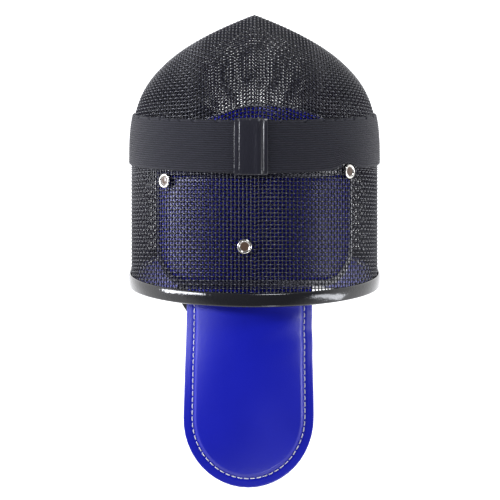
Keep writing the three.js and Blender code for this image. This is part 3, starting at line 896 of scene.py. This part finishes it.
class MASK_OT_wire(Operator):
    """Weaves the wire bowl: a draped net whose wires pass over and under each other"""

    bl_idname = "mask.wire"
    bl_label = "Wire bowl"

    def execute(self, context):
        own = settings("mask_wire")
        wall = Wall()
        net = draped_net(wall, own)
        normals = wall.normals(np.nan_to_num(net))
        material = wire_paint(tuple(own.paint), tuple(own.worn_and_glint))
        for name, along_rows in (("cross_wires", False), ("long_wires", True)):
            # The cross wires get more of the painted glint than the long wires, as if the light
            # came from ahead
            wear_and_glint = 0.6 if along_rows else 1.0
            wires = weave_wires(net, normals, along_rows, own.crimp, wear_and_glint)
            middles = np.array([path.mean(0) for path, _, _ in wires])
            ahead = middles[:, 0] + 1e-6 if along_rows else middles[:, 1] - SPLIT_LINE
            for half, chosen in (("a", ahead >= 0), ("b", ahead < 0)):
                picked = zip(*[wires[k] for k in np.flatnonzero(chosen)])
                points, faces, uv = tubes(*picked, own.diameter / 2, own.sides)
                add_piece(
                    f"{name}_{half}", points, faces, material, ["mesh_shell"], uv
                )
        return {"FINISHED"}


# The trim


class MASK_OT_trim(Operator):
    """Folds the glossy trim over the edge of the wire"""

    bl_idname = "mask.trim"
    bl_label = "Rim trim"

    def execute(self, context):
        own = settings("mask_trim")
        turns = np.linspace(0, 2 * pi, 300, endpoint=False)
        reach = MESH_WALL / 2 + GAP
        edge, edge_normal = rim_place(turns, 0.0), rim_normals(turns, 0.0)
        loops = []
        outer_stops = own.width - own.wall - GAP
        inner_stops = own.inner_width - own.wall - GAP
        outer = rim_place(turns, outer_stops)
        back = unit(edge - outer)

        def at(forward, height, behind=0.0):
            """A loop round the rim: forward of it, off the wire, and behind its edge."""
            base = rim_place(turns, forward) if forward else edge
            normal = rim_normals(turns, forward) if forward else edge_normal
            return base + behind * back + height * normal

        # From the outer edge over a slight swell, round the wire's edge, to the inner edge
        rounding, crown = 0.0006, own.wall * 0.35
        loops += [at(outer_stops, reach), at(outer_stops, reach + 0.6 * own.wall)]
        loops.append(at(outer_stops - rounding, reach + own.wall))
        for share in (0.85, 0.6, 0.35, 0.12):
            swell = crown * sin(pi * share)
            loops.append(at(share * outer_stops, reach + own.wall + swell))
        for turn in np.radians(np.arange(0, 181, 20)):
            height = (reach + own.wall) * cos(turn)
            loops.append(at(0.0, height, GAP + own.wall * sin(turn) ** 0.7))
        loops.append(at(inner_stops - rounding, -reach - own.wall))
        loops += [at(inner_stops, -reach - 0.6 * own.wall), at(inner_stops, -reach)]
        loops += [at(0.0, -reach, GAP), at(0.0, reach, GAP)]
        material = vinyl("Glossy trim", tuple(own.paint), 0.16, 500.0, 0.00012, coat=0.6)
        grid = np.stack(loops, 1)
        add_loft("rim_trim_fold", grid, material, ["rim_trim"], ring=True)
        return {"FINISHED"}


# Padded panels


def panel_loop(half, rear, front, rear_corner, front_corner, inset=0.0, corner=12, edge=24):
    """The outline of a panel with rounded corners, as points across and forward."""
    half, rear, front = half - inset, rear + inset, front - inset
    rear_corner = [max(0.0005, size - inset) for size in rear_corner]
    front_corner = [max(0.0005, size - inset) for size in front_corner]
    arcs = []
    for side, end, inward, size, start in (
        (1, rear, 1, rear_corner, -90), (1, front, -1, front_corner, 0),
        (-1, front, -1, front_corner, 90), (-1, rear, 1, rear_corner, 180),
    ):
        turn = np.radians(start + np.linspace(0, 90, corner + 1))
        across = side * (half - size[0]) + size[0] * np.cos(turn)
        arcs.append(np.stack([across, end + inward * size[1] + size[1] * np.sin(turn)], -1))
    loop = []
    for arc, following in zip(arcs, arcs[1:] + arcs[:1]):
        share = np.linspace(0, 1, edge + 1)[1:-1, None]
        loop += [arc, arc[-1] + share * (following[0] - arc[-1])]
    return np.concatenate(loop)


def even_loop(loop, count):
    """The same closed outline with evenly spaced points, without doubled ones."""
    closed = np.concatenate([loop, loop[:1]])
    steps = run_lengths(closed)
    stops = np.linspace(0, steps[-1], count, endpoint=False)
    return np.stack([np.interp(stops, steps, closed[:, axis]) for axis in range(2)], -1)


class Panel2D:
    """A panel's outline: its half width, ends and corner radii, and how many points it takes."""

    def __init__(self, half, rear, front, rear_corner, front_corner, count):
        self.sizes = (half, rear, front, rear_corner, front_corner)
        self.centre = np.array([0.0, (rear + front) / 2])
        self.count = count

    def loop(self, inset=0.0, share=1.0):
        """The outline, drawn in by an inset and then shrunk to a share."""
        outline = even_loop(panel_loop(*self.sizes, inset=inset), self.count)
        return self.centre + share * (outline - self.centre)


def padded_solid(name, panel, rings, place, material, nodes):
    """A panel from rings: each has an inset, a share of full size, and two heights."""
    top, under, flat = [], [], []
    for inset, share, above, below in rings:
        loop = panel.loop(inset, share)
        flat.append(loop)
        top.append(place(loop[:, 0], loop[:, 1], above))
        under.append(place(loop[:, 0], loop[:, 1], below))
    grid = np.stack(top + under[::-1])
    uv = np.stack(flat + flat[::-1])
    return add_loft(name, grid, material, nodes, uv=uv)


def band_solid(name, panel, section, place, material, nodes):
    """A closed band along a panel's edge: a section of insets and heights, carried round it."""
    loops = [panel.loop(inset) for inset, _ in section]
    heights = [height for _, height in section]
    grid = np.stack([place(p[:, 0], p[:, 1], h) for p, h in zip(loops, heights)])
    around = np.linspace(0, 1, panel.count, endpoint=False) * 0.5
    along = np.linspace(0, 1, len(section)) * 0.02
    uv = np.stack(np.broadcast_arrays(along[:, None], around[None, :]), -1)
    return add_loft(name, grid, material, nodes, uv=uv, ring=True)


def round_section(inset, height, half_width, half_height, points=10):
    """An oval section as pairs of inset and height."""
    turns = np.linspace(0, 2 * pi, points, endpoint=False)
    return [(inset + half_width * cos(t), height + half_height * sin(t)) for t in turns]


class MASK_OT_padding(Operator):
    """Pads the crown and the brow, with their white binding and piping"""

    bl_idname = "mask.padding"
    bl_label = "Padding"

    def execute(self, context):
        own = settings("mask_padding")
        # The crown padding's cover is a darker copy of the blue: painted shade under the wire
        cover = vinyl("Blue padding", tuple(own.vinyl), 0.4, 1200.0, 0.0001, coat=0.15)
        tape = cloth("White tape", tuple(own.tape), 900.0, 1100.0, 0.00015)
        # The binding carries painted shade towards the wearer's left
        binding = tape_with_painted_shade(tuple(own.tape), tuple(own.painted_shade))
        front = own.rear + own.span

        def crown(across, forward, height):
            """The crown padding under the wire, whose front corners reach ahead."""
            share = np.clip((forward - own.rear) / own.span, 0, 1)
            rise = own.horn * share**2 * (across / own.half_width) ** 4
            return over_crown(across / HALF_WIDTH, forward + rise, 0 * across + height)

        under = PAD_TOP - CROWN_PAD_THICKNESS
        panel = Panel2D(
            own.half_width, own.rear, front, (own.corner,) * 2, (own.front_corner,) * 2, 260
        )
        inset = own.binding - 0.0004
        edge_fall, edge_rise = 0.0014, 0.0030
        rings = []
        for share in np.linspace(0.04, 0.86, 14):
            rings.append((inset, share, PAD_TOP, under + 0.0004 * share))
        for turn in np.radians(np.linspace(0, 90, 8)):
            share = 0.9 + 0.1 * sin(turn)
            fall = 1 - cos(turn)
            rings.append((inset, share, PAD_TOP - edge_fall * fall, under + edge_rise * fall))
        padded = padded_solid(
            "crown_cushion", panel, rings, crown, cover, ["crown_pad"]
        )
        half = own.binding / 2
        section = round_section(half, PAD_TOP - 0.0024, half, 0.0023, 12)
        band_solid(
            "crown_binding", panel, section, crown, binding, ["crown_pad_binding"]
        )

        def brow(across, forward, height):
            """The brow padding under the wire, whose front edge is bowed."""
            share = np.clip((forward - own.brow_rear) / own.brow_span, 0, 1)
            bow = own.brow_bow * share * (across / own.brow_half_width) ** 2
            turn = own.brow_turn + across / HALF_WIDTH
            return over_crown(turn, forward - bow, 0 * across + height)

        top = -MESH_WALL / 2 - own.brow_clearance
        panel = Panel2D(
            own.brow_half_width, own.brow_rear, own.brow_rear + own.brow_span,
            (own.brow_corner,) * 2, (own.brow_corner,) * 2, 200,
        )
        inset, under = own.piping, top - own.brow_thickness
        edge_fall, edge_rise = 0.0018, 0.0032
        rings = [(inset, share, top, under) for share in np.linspace(0.05, 0.84, 12)]
        for turn in np.radians(np.linspace(0, 90, 8)):
            share = 0.88 + 0.12 * sin(turn)
            fall = 1 - cos(turn)
            rings.append((inset, share, top - edge_fall * fall, under + edge_rise * fall))
        # The brow padding's cover is the lighter, lit copy of the same blue
        lit_brow_cover = vinyl("Blue brow", tuple(own.brow_vinyl), 0.36, 1200.0, 0.0001, coat=0.2)
        padded = padded_solid(
            "brow_cushion", panel, rings, brow, lit_brow_cover, ["brow_pad"]
        )
        half = own.piping / 2
        section = round_section(half, top - half - 0.0002, half, half, 10)
        band_solid("brow_piping", panel, section, brow, tape, ["brow_pad_piping"])
        return {"FINISHED"}


# The tongue

THREAD_RADIUS = 0.00042


def tongue_place(own, across, forward, height):
    """The tongue's surface: an arch under the crown that flattens and droops to its tip."""
    middle = PAD_TOP - CROWN_PAD_THICKNESS - SOFT_GAP - own.thickness / 2
    free = np.clip(-forward / (own.span - own.root), 0, 1)
    bend = (1 - own.flattening * smooth(free)) / (HALF_WIDTH + middle)
    turn = (across + own.shift) * bend
    reach = 1 / bend + height
    q = -middle + 1 / bend - reach * np.cos(turn) + own.droop * free**2
    return np.stack(np.broadcast_arrays(reach * np.sin(turn), forward, q), -1)


class MASK_OT_tongue(Operator):
    """Builds the padded tongue with its stitched hem, and the webbing tab under it"""

    bl_idname = "mask.tongue"
    bl_label = "Tongue"

    def execute(self, context):
        own = settings("mask_tongue")
        panel = Panel2D(
            own.half_width, own.root - own.span, own.root,
            (own.half_width, own.tip), (own.root_corner,) * 2, 360,
        )
        full, hem = own.thickness / 2, own.hem_thickness / 2
        puff = own.hem + own.hem_thickness

        def place(across, forward, height):
            """The tongue with a slow sag and a shallow fold near the rim."""
            sag = 0.0005 * wobble(across * 45, forward * 45, 4)
            near_rim = bump(forward + 0.015, 0.028) * smooth(-across, -0.01, 0.04)
            fold = 0.0005 * near_rim * np.sin(across * 90 + 240 * forward + 1.2)
            return tongue_place(own, across, forward, height + sag + fold)

        # The padded middle, its round edge, the grooved hem, and the hem's rounded rim
        rings = []
        for share in np.linspace(0.04, 0.94, 24):
            rings.append((puff, share, full * (1 - 0.10 * share**4), -full))
        for step in np.linspace(0, 1, 7):
            rise = cos(step * pi / 2)
            height = hem + (0.9 * full - hem) * rise
            rings.append((puff - own.hem_thickness * step, 1.0, height, -height))
        groove_depth = edge_radius = 0.0007
        lip = 0.0004
        for step in np.linspace(0.1, 1, 8):
            groove = groove_depth * bump(step - 0.14, 0.12)
            inset = own.hem * (1 - step) + edge_radius * step
            rings.append((inset, 1.0, hem - groove + lip * step**2, -hem))
        for turn in np.radians(np.linspace(20, 90, 5)):
            inset = edge_radius * (1 - sin(turn))
            rings.append((inset, 1.0, (hem + lip) * cos(turn), -hem * cos(turn)))
        cover = vinyl("Blue vinyl", tuple(own.vinyl), 0.36, 1500.0, 0.00008, coat=0.2)
        flap = padded_solid("tongue_flap", panel, rings, place, cover, ["tongue"])
        self.stitches(own, panel, own.hem - own.stitch_inset, hem, place)
        self.webbing(own)
        return {"FINISHED"}

    def stitches(self, own, panel, inset, height, place):
        """Short threads lying along the hem: arched capsules whose ends sink into the vinyl."""
        sunk, arch = 0.0003, 0.00045
        loop = panel.loop(inset)
        closed = np.concatenate([loop, loop[:1]])
        steps = run_lengths(closed)
        count = int(steps[-1] / own.stitch_pitch)
        starts = np.linspace(0, steps[-1], count, endpoint=False)
        share = np.linspace(0, 1, 7)
        paths, normals, crests = [], [], []
        for start in starts:
            stops = (start + share * own.stitch) % steps[-1]
            across, forward = (np.interp(stops, steps, closed[:, axis]) for axis in range(2))
            rise = height - sunk + arch * np.sin(pi * share)
            path = place(across, forward, rise)
            above = place(across, forward, rise + 0.001)
            paths.append(path)
            normals.append((above - path) / 0.001)
            crests.append(np.sin(pi * share))
        points, faces, uv = tubes(paths, normals, crests, THREAD_RADIUS, 6)
        material = cloth("Stitching thread", tuple(own.thread), 3.0, 6.0, 0.00005, 0.6)
        add_piece("tongue_stitches", points, faces, material, uv=uv)

    def webbing(self, own):
        """A flat strip that leaves the tongue's left edge slantwise, under it."""
        above = -own.thickness / 2 - GAP
        along = own.webbing_length * (np.linspace(0, 1, 60) - 0.72)[:, None]
        turns = np.linspace(0, 2 * pi, 28, endpoint=False)
        aside = own.webbing_width / 2 * np.sign(np.cos(turns)) * np.abs(np.cos(turns)) ** 0.3
        depth = own.webbing_thickness / 2 * np.sign(np.sin(turns)) * np.abs(np.sin(turns)) ** 0.5
        turn = own.webbing_turn
        across = own.half_width + along * sin(turn) - aside * cos(turn)
        forward = own.webbing_forward + along * cos(turn) + aside * sin(turn)
        height = above - own.webbing_thickness / 2 + depth + 0 * along
        grid = tongue_place(own, across, forward, height)
        uv = np.stack(np.broadcast_arrays(aside[None, :], along), -1)
        material = cloth("Black webbing", (0.012, 0.012, 0.014), 700.0, 500.0, 0.0003)
        add_loft("webbing_tab", grid, material, ["tongue_webbing"], uv=uv)


# The fasteners


def spot_axes(angle_round, u):
    """A point on the wire with its outward normal and two directions along the wall."""
    point = crown_place(np.array(angle_round), np.array(u))
    normal = wall_normals(crown_place, np.array(angle_round), np.array(u), radians(0.5), 0.0008)
    ahead = np.array([0.0, 1.0, 0.0])
    side = unit(np.cross(ahead, normal))
    return point, normal, side, np.cross(normal, side)


def turned(profile, spot, steps=40):
    """A profile of radii and heights turned round the normal at a spot, in the bowl's frame."""
    point, normal, side, ahead = spot
    radii, heights = np.array(profile).T
    turns = np.linspace(0, 2 * pi, steps, endpoint=False)
    ring = np.cos(turns)[:, None] * side + np.sin(turns)[:, None] * ahead
    grid = point + radii[:, None, None] * ring[None] + heights[:, None, None] * normal
    widest = np.argmax(radii)
    share = np.where(np.arange(len(radii)) < widest, radii / radii[widest], 1.0)
    around = turns / (2 * pi)
    return grid, np.stack(np.broadcast_arrays(around[None, :], share[:, None]), -1)


def snap_profile(own, head, dish, seat, under):
    """Head with a rolled ring and a dished middle, then the post and the washer."""
    top = seat + own.height
    floor = top - own.dish_depth
    rim = (head - dish) / 4
    middle = dish / 2 + rim
    roll = [
        (middle + rim * cos(t), top - rim * 0.9 + rim * 0.9 * sin(t))
        for t in np.radians(np.linspace(150, 0, 9))
    ]
    return [
        (0.00002, floor + 0.0003), (0.25 * dish, floor + 0.00022), (0.42 * dish, floor),
        (0.47 * dish, floor + 0.0001), *roll,
        (head / 2, seat + 0.0004), (head / 2 - 0.0003, seat), (own.post / 2, seat),
        (own.post / 2, under), (own.washer / 2 - 0.0003, under),
        (own.washer / 2, under - 0.0003), (own.washer / 2, under - 0.0009),
        (own.washer / 2 - 0.0003, under - own.washer_thickness),
        (0.00002, under - own.washer_thickness),
    ]


def rivet_angle(own):
    """How far round the bowl the strap's rivets sit."""
    return own.reach - own.rivet_inset / HALF_WIDTH


class MASK_OT_fasteners(Operator):
    """Sets the three snaps and the two rivets of the strap"""

    bl_idname = "mask.fasteners"
    bl_label = "Fasteners"

    def execute(self, context):
        own, strap = settings("mask_fasteners"), settings("mask_strap")
        tongue = settings("mask_tongue")
        material = plated_metal(tuple(own.plate), tuple(own.dish_reflection))
        pad_under = PAD_TOP - CROWN_PAD_THICKNESS
        tongue_under = pad_under - SOFT_GAP - tongue.thickness
        seat = MESH_WALL / 2 + GAP
        for name, angle_round, u in SNAP_PLACES:
            under = tongue_under if name == "snap_centre" else pad_under
            profile = snap_profile(own, own.snap, own.dish, seat, under - SOFT_GAP)
            grid, uv = turned(profile, spot_axes(angle_round, u))
            add_loft(f"{name}_turned", grid, material, [name], uv=uv)
        line = strap_line(strap, rivet_angle(strap))
        seat += strap.thickness + GAP
        for name, side in (("strap_rivet_left", 1), ("strap_rivet_right", -1)):
            profile = snap_profile(own, own.rivet, own.dish / 2, seat, PAD_TOP)
            grid, uv = turned(profile, spot_axes(side * rivet_angle(strap), line))
            add_loft(f"{name}_turned", grid, material, [name], uv=uv)
        return {"FINISHED"}


SNAP_PLACES = (
    ("snap_left", radians(43.7), 0.0979),
    ("snap_right", radians(-46.8), 0.1054),
    ("snap_centre", radians(4.4), 0.0457),
)


# The strap


def strap_line(own, turn):
    """The strap's middle line runs further forward as it goes down the sides."""
    return own.line + own.sweep * (np.abs(turn) / (pi / 2)) ** 1.6


def strap_lift(own, turn):
    """The strap lies on the wire, and is lifted where the sleeve passes under it."""
    away = np.abs(turn - own.sleeve_shift / HALF_WIDTH) - own.sleeve / 2 / HALF_WIDTH
    raised = 1 - smooth(away, 0, own.sleeve_ramp)
    return MESH_WALL / 2 + GAP + raised * (own.sleeve_wall + GAP)


def snap_push(own, turn):
    """How far a snap's head pushes the strap's rear edge forward."""
    head = settings("mask_fasteners").snap / 2
    rear = strap_line(own, turn) - own.width / 2
    pushes = [
        np.maximum(0, u + head + SOFT_GAP - rear) * bump(turn - place, own.push_spread)
        for _, place, u in SNAP_PLACES
    ]
    return np.maximum.reduce(pushes)


def strap_surface(own, turn, share, lift):
    """A point of the strap: a turn round the crown, a share across, and a lift off the wire."""
    push = np.where(share < 0, -share * snap_push(own, turn), 0)
    return over_crown(turn, strap_line(own, turn) + share * own.width / 2 + push, lift)


class MASK_OT_strap(Operator):
    """Lays the ribbed elastic strap over the crown, with the sleeve at its middle"""

    bl_idname = "mask.strap"
    bl_label = "Strap"

    def execute(self, context):
        own = settings("mask_strap")
        turns = np.linspace(-own.reach, own.reach, 320)[:, None]
        across = np.linspace(-1, 1, own.ribs * 4 + 1)[None, :]
        # Rounded edges, ribs that fade at them, and small puckers along the front edge
        edge = 1 - np.abs(across)
        rounded = np.minimum(1, edge / 0.03) ** 0.5
        ribs = own.rib_height * np.cos(across * own.ribs * pi) * np.minimum(1, edge / 0.05)
        pucker = np.maximum(0, np.sin(turns * HALF_WIDTH / 0.0022 + 2 * np.sin(9 * turns))) ** 10
        pucker = pucker * bump(across - 0.97, 0.06)
        low = strap_lift(own, turns)
        thick = own.thickness * (0.35 + 0.65 * rounded)
        high = low + thick + ribs - 0.0012 * pucker
        high = np.where(edge > 0.005, high, low + 0.4 * own.thickness)
        top = strap_surface(own, turns, across - 0.10 * pucker, high)
        under_share = np.linspace(1, -1, 9)[None, :]
        under = strap_surface(own, turns, under_share, low + 0 * under_share)
        grid = np.concatenate([top, under], axis=1)
        v = np.concatenate([across[0], under_share[0]]) * own.width / 2
        uv = np.stack(np.broadcast_arrays(v[None, :], turns * HALF_WIDTH), -1)
        material = ribbed_elastic(tuple(own.elastic), own.ribs / own.width)
        add_loft("elastic_strap", grid, material, ["back_strap"], uv=uv)
        self.sleeve(own)
        return {"FINISHED"}

    def sleeve(self, own):
        """A flat tube of vinyl round the strap: a groove down each side, a ridge down the left."""
        middle = own.sleeve_shift / HALF_WIDTH
        half = own.sleeve / 2 / HALF_WIDTH
        # Across the sleeve: two sewn grooves, a ridge beyond the left one, and a soft swell
        along = np.linspace(-1, 1, 81)
        groove = bump(along + 0.70, 0.035) + 0.5 * bump(along - 0.72, 0.03)
        ridge = 0.0005 * smooth(-along, 0.74, 0.80) - 0.0006 * groove
        swell = 0.0009 * bump(along + 0.45, 0.22) + 0.0005 * (1 - along**2)
        turns = (middle + half * along)[:, None]

        def around(grow, extra):
            """A rounded rectangle round the strap's section, as shares across and lifts."""
            angles = np.linspace(0, 2 * pi, 96, endpoint=False)
            c, s = np.cos(angles), np.sin(angles)
            share = np.sign(c) * np.abs(c) ** 0.14
            side = np.sign(s) * np.abs(s) ** 0.5
            reach = 1 + grow / (own.width / 2)
            centre = strap_lift(own, turns) + own.thickness / 2
            above = (side > 0) * extra[:, None]
            lift = centre + side[None, :] * (own.thickness / 2 + grow) + above
            return strap_surface(own, turns, share[None, :] * reach, lift)

        outside = around(GAP + own.sleeve_wall, ridge + swell)
        inside = around(GAP, 0 * swell)[::-1]
        material = vinyl("Black vinyl", tuple(own.vinyl), 0.3, 700.0, 0.0002, coat=0.35)
        grid = np.concatenate([outside, inside])
        add_loft("vinyl_sleeve", grid, material, ["strap_sleeve"], ring=True)


# The bib


class MASK_OT_bib(Operator):
    """Hangs the padded bib from the lower rim"""

    bl_idname = "mask.bib"
    bl_label = "Bib"

    def execute(self, context):
        own, trim = settings("mask_bib"), settings("mask_trim")
        # Round the lower rim from end to end, and down both faces of the cloth
        share = np.linspace(0, 1, 221)
        turns = own.start + (2 * pi - 2 * own.start) * share
        edge, normal = rim_place(turns, 0.0), rim_normals(turns, 0.0)
        back = unit(edge - rim_place(turns, trim.width))
        down = np.array([0, -sin(CROWN_PITCH), cos(CROWN_PITCH)])
        top = edge + (trim.wall + 2 * GAP) * back
        drop = own.end_drop + (own.drop - own.end_drop) * np.sin(pi * share) ** 1.5
        out = unit(normal - (normal @ down)[:, None] * down)
        rows = np.concatenate([np.linspace(0, 0.97, 70), [0.98, 0.99, 0.996, 1.0]])
        loops = []
        for side, order in ((1, rows), (-1, rows[::-1])):
            for fall in order:
                loops.append(self.row(own, fall, side, top, back, down, normal, out, drop, share))
        grid = np.stack(loops, 1)
        v = np.concatenate([rows, rows[::-1]]) * own.drop
        uv = np.stack(np.broadcast_arrays(v[None, :], share[:, None] * 0.36), -1)
        material = cloth("Blue cloth", tuple(own.cloth), 1100.0, 1100.0, 0.00018, 0.8, 0.4)
        bib = add_loft("bib_cloth", grid, material, ["bib"], uv=uv)
        return {"FINISHED"}

    def row(self, own, fall, side, top, back, down, normal, out, drop, share):
        """A row of the bib, which leaves the rim square, then hangs in folds, with two seams."""
        lean = smooth(fall, 0, 0.25)
        square = unit(normal + lean * (out - normal))
        slide = unit(back + lean * (down - back))
        arch = np.sin(pi * share)
        fold = 0.0028 * fall * arch * wobble(share * 34, 3 * fall, 11)
        hem = 1 - 0.45 * smooth(fall, 0.985, 1.0)
        quilt = 1 - 0.45 * bump(fall - 0.93, 0.008) - 0.35 * bump(fall - 0.12, 0.008)
        reach = own.flare * fall**2 * arch + fold
        height = side * own.thickness / 2 * hem * quilt
        return (
            top + (fall * drop)[:, None] * slide + reach[:, None] * out + height * square
        )


# The stage

FLOOR_HALF_SIZE = 40.0


class MASK_OT_stage(Operator):
    """Sets the floor, the soft lights and the camera above and behind the crown"""

    bl_idname = "mask.stage"
    bl_label = "Stage"

    def execute(self, context):
        own = settings("mask_stage")
        scene = context.scene
        self.floor(own)
        self.camera(own, scene)
        self.lights(own, scene)
        scene.view_settings.view_transform = "Standard"
        return {"FINISHED"}

    def floor(self, own):
        """A wide floor far below the mask, pale enough to be the ground of the picture."""
        lowest = CAD_BOX[0][2] - own.floor_drop
        size = FLOOR_HALF_SIZE
        mesh = bpy.data.meshes.new("pale_floor")
        corners = [(-size, -size), (size, -size), (size, size), (-size, size)]
        mesh.from_pydata([(x, y, lowest) for x, y in corners], [], [(0, 1, 2, 3)])
        material, tree, shader = new_material(
            "Pale floor", Roughness=0.9, Emission_Color=(1, 1, 1, 1), Emission_Strength=0.9
        )
        where = object_place(tree)
        tint(tree, shader, tone(own.floor, 0.99), tuple(own.floor), noise_node(tree, where, 3.0))
        mesh.materials.append(material)
        new_object("pale_floor", mesh)

    def camera(self, own, scene):
        """The camera looks straight down on the crown, with the face up the picture."""
        aim = Vector(to_row((own.aim_across, own.aim_forward, 0.0)))
        eye = Vector(to_row((own.aim_across, own.aim_forward, -own.distance)))
        ahead = Vector(to_row((own.aim_across, own.aim_forward + 1.0, 0.0))) - aim
        back = (eye - aim).normalized()
        right = ahead.cross(back)
        data = bpy.data.cameras.new("camera")
        data.sensor_width = 36.0
        data.lens = data.sensor_width * own.distance / own.view_width
        data.clip_end = 100.0
        camera = new_object("camera", data)
        basis = Matrix((right.normalized(), ahead.normalized(), back)).transposed().to_4x4()
        camera.matrix_world = Matrix.Translation(eye) @ basis
        scene.camera = camera

    def sky(self, own, scene):
        """A white horizon that darkens overhead, as in a studio with pale walls."""
        world = bpy.data.worlds.new("studio")
        world.use_nodes = True
        tree = world.node_tree
        where = tree.nodes.new("ShaderNodeTexCoord").outputs["Generated"]
        rise = separated(tree, where).outputs["Z"]
        fade = faded(tree, rise, 0.12, 0.70, own.horizon, own.zenith)
        background = tree.nodes["Background"]
        background.inputs["Color"].default_value = (1, 1, 1, 1)
        tree.links.new(fade, background.inputs["Strength"])
        scene.world = world

    def lights(self, own, scene):
        """The sky, and four soft lamps that look at the middle of the bowl."""
        self.sky(own, scene)
        for name, place, size, power in LIGHTS:
            data = bpy.data.lights.new(name, "AREA")
            data.shape = "RECTANGLE"
            data.size, data.size_y = size
            data.energy = power
            data.color = (0.92, 0.94, 1.0)
            lamp = new_object(name, data)
            where = Vector(to_row(place))
            aim = Vector(to_row((0.0, 0.10, 0.03)))
            lamp.matrix_world = Matrix.Translation(where) @ (
                (where - aim).to_track_quat("Z", "Y").to_matrix().to_4x4()
            )


# Name, place in the bowl's frame, size and power of each soft light
LIGHTS = (
    ("key_front", (-0.35, 1.2, -1.0), (0.5, 0.4), 8.0),
    ("side_left", (1.25, 0.35, -0.45), (0.3, 1.0), 21.0),
    ("side_right", (-1.3, -0.1, -0.4), (0.3, 0.9), 7.0),
    ("rear_fill", (-0.4, -1.3, -1.1), (0.3, 0.3), 3.0),
)

# Everything in the order in which it is made
STEPS = ("stage", "wire", "trim", "padding", "tongue", "fasteners", "strap", "bib")

GROUPS = {
    "mask_wire": MaskWireSettings,
    "mask_trim": MaskTrimSettings,
    "mask_padding": MaskPaddingSettings,
    "mask_tongue": MaskTongueSettings,
    "mask_fasteners": MaskFastenerSettings,
    "mask_strap": MaskStrapSettings,
    "mask_bib": MaskBibSettings,
    "mask_stage": MaskStageSettings,
}


class MASK_PT_sidebar(Panel):
    """Lists the pieces and their sizes"""

    bl_idname = "MASK_PT_sidebar"
    bl_label = "Fencing mask"
    bl_space_type = "VIEW_3D"
    bl_region_type = "UI"
    bl_category = "Mask"

    def draw(self, context):
        for step in STEPS:
            self.layout.operator(f"mask.{step}")
        for name, kind in GROUPS.items():
            box = self.layout.box()
            box.label(text=kind.__name__)
            for prop in kind.__annotations__:
                box.prop(getattr(context.scene, name), prop)


OPERATORS = (
    MASK_OT_stage, MASK_OT_wire, MASK_OT_trim, MASK_OT_padding,
    MASK_OT_tongue, MASK_OT_fasteners, MASK_OT_strap, MASK_OT_bib,
)


def register():
    for kind in (*GROUPS.values(), *OPERATORS, MASK_PT_sidebar):
        bpy.utils.register_class(kind)
    for name, kind in GROUPS.items():
        setattr(bpy.types.Scene, name, PointerProperty(type=kind))
    grain_group()
    weave_group()


def unregister():
    for name in GROUPS:
        delattr(bpy.types.Scene, name)
    for kind in (MASK_PT_sidebar, *reversed(OPERATORS), *reversed(GROUPS.values())):
        bpy.utils.unregister_class(kind)


def main():
    register()
    for step in STEPS:
        getattr(bpy.ops.mask, step)()


if __name__ == "__main__":
    main()
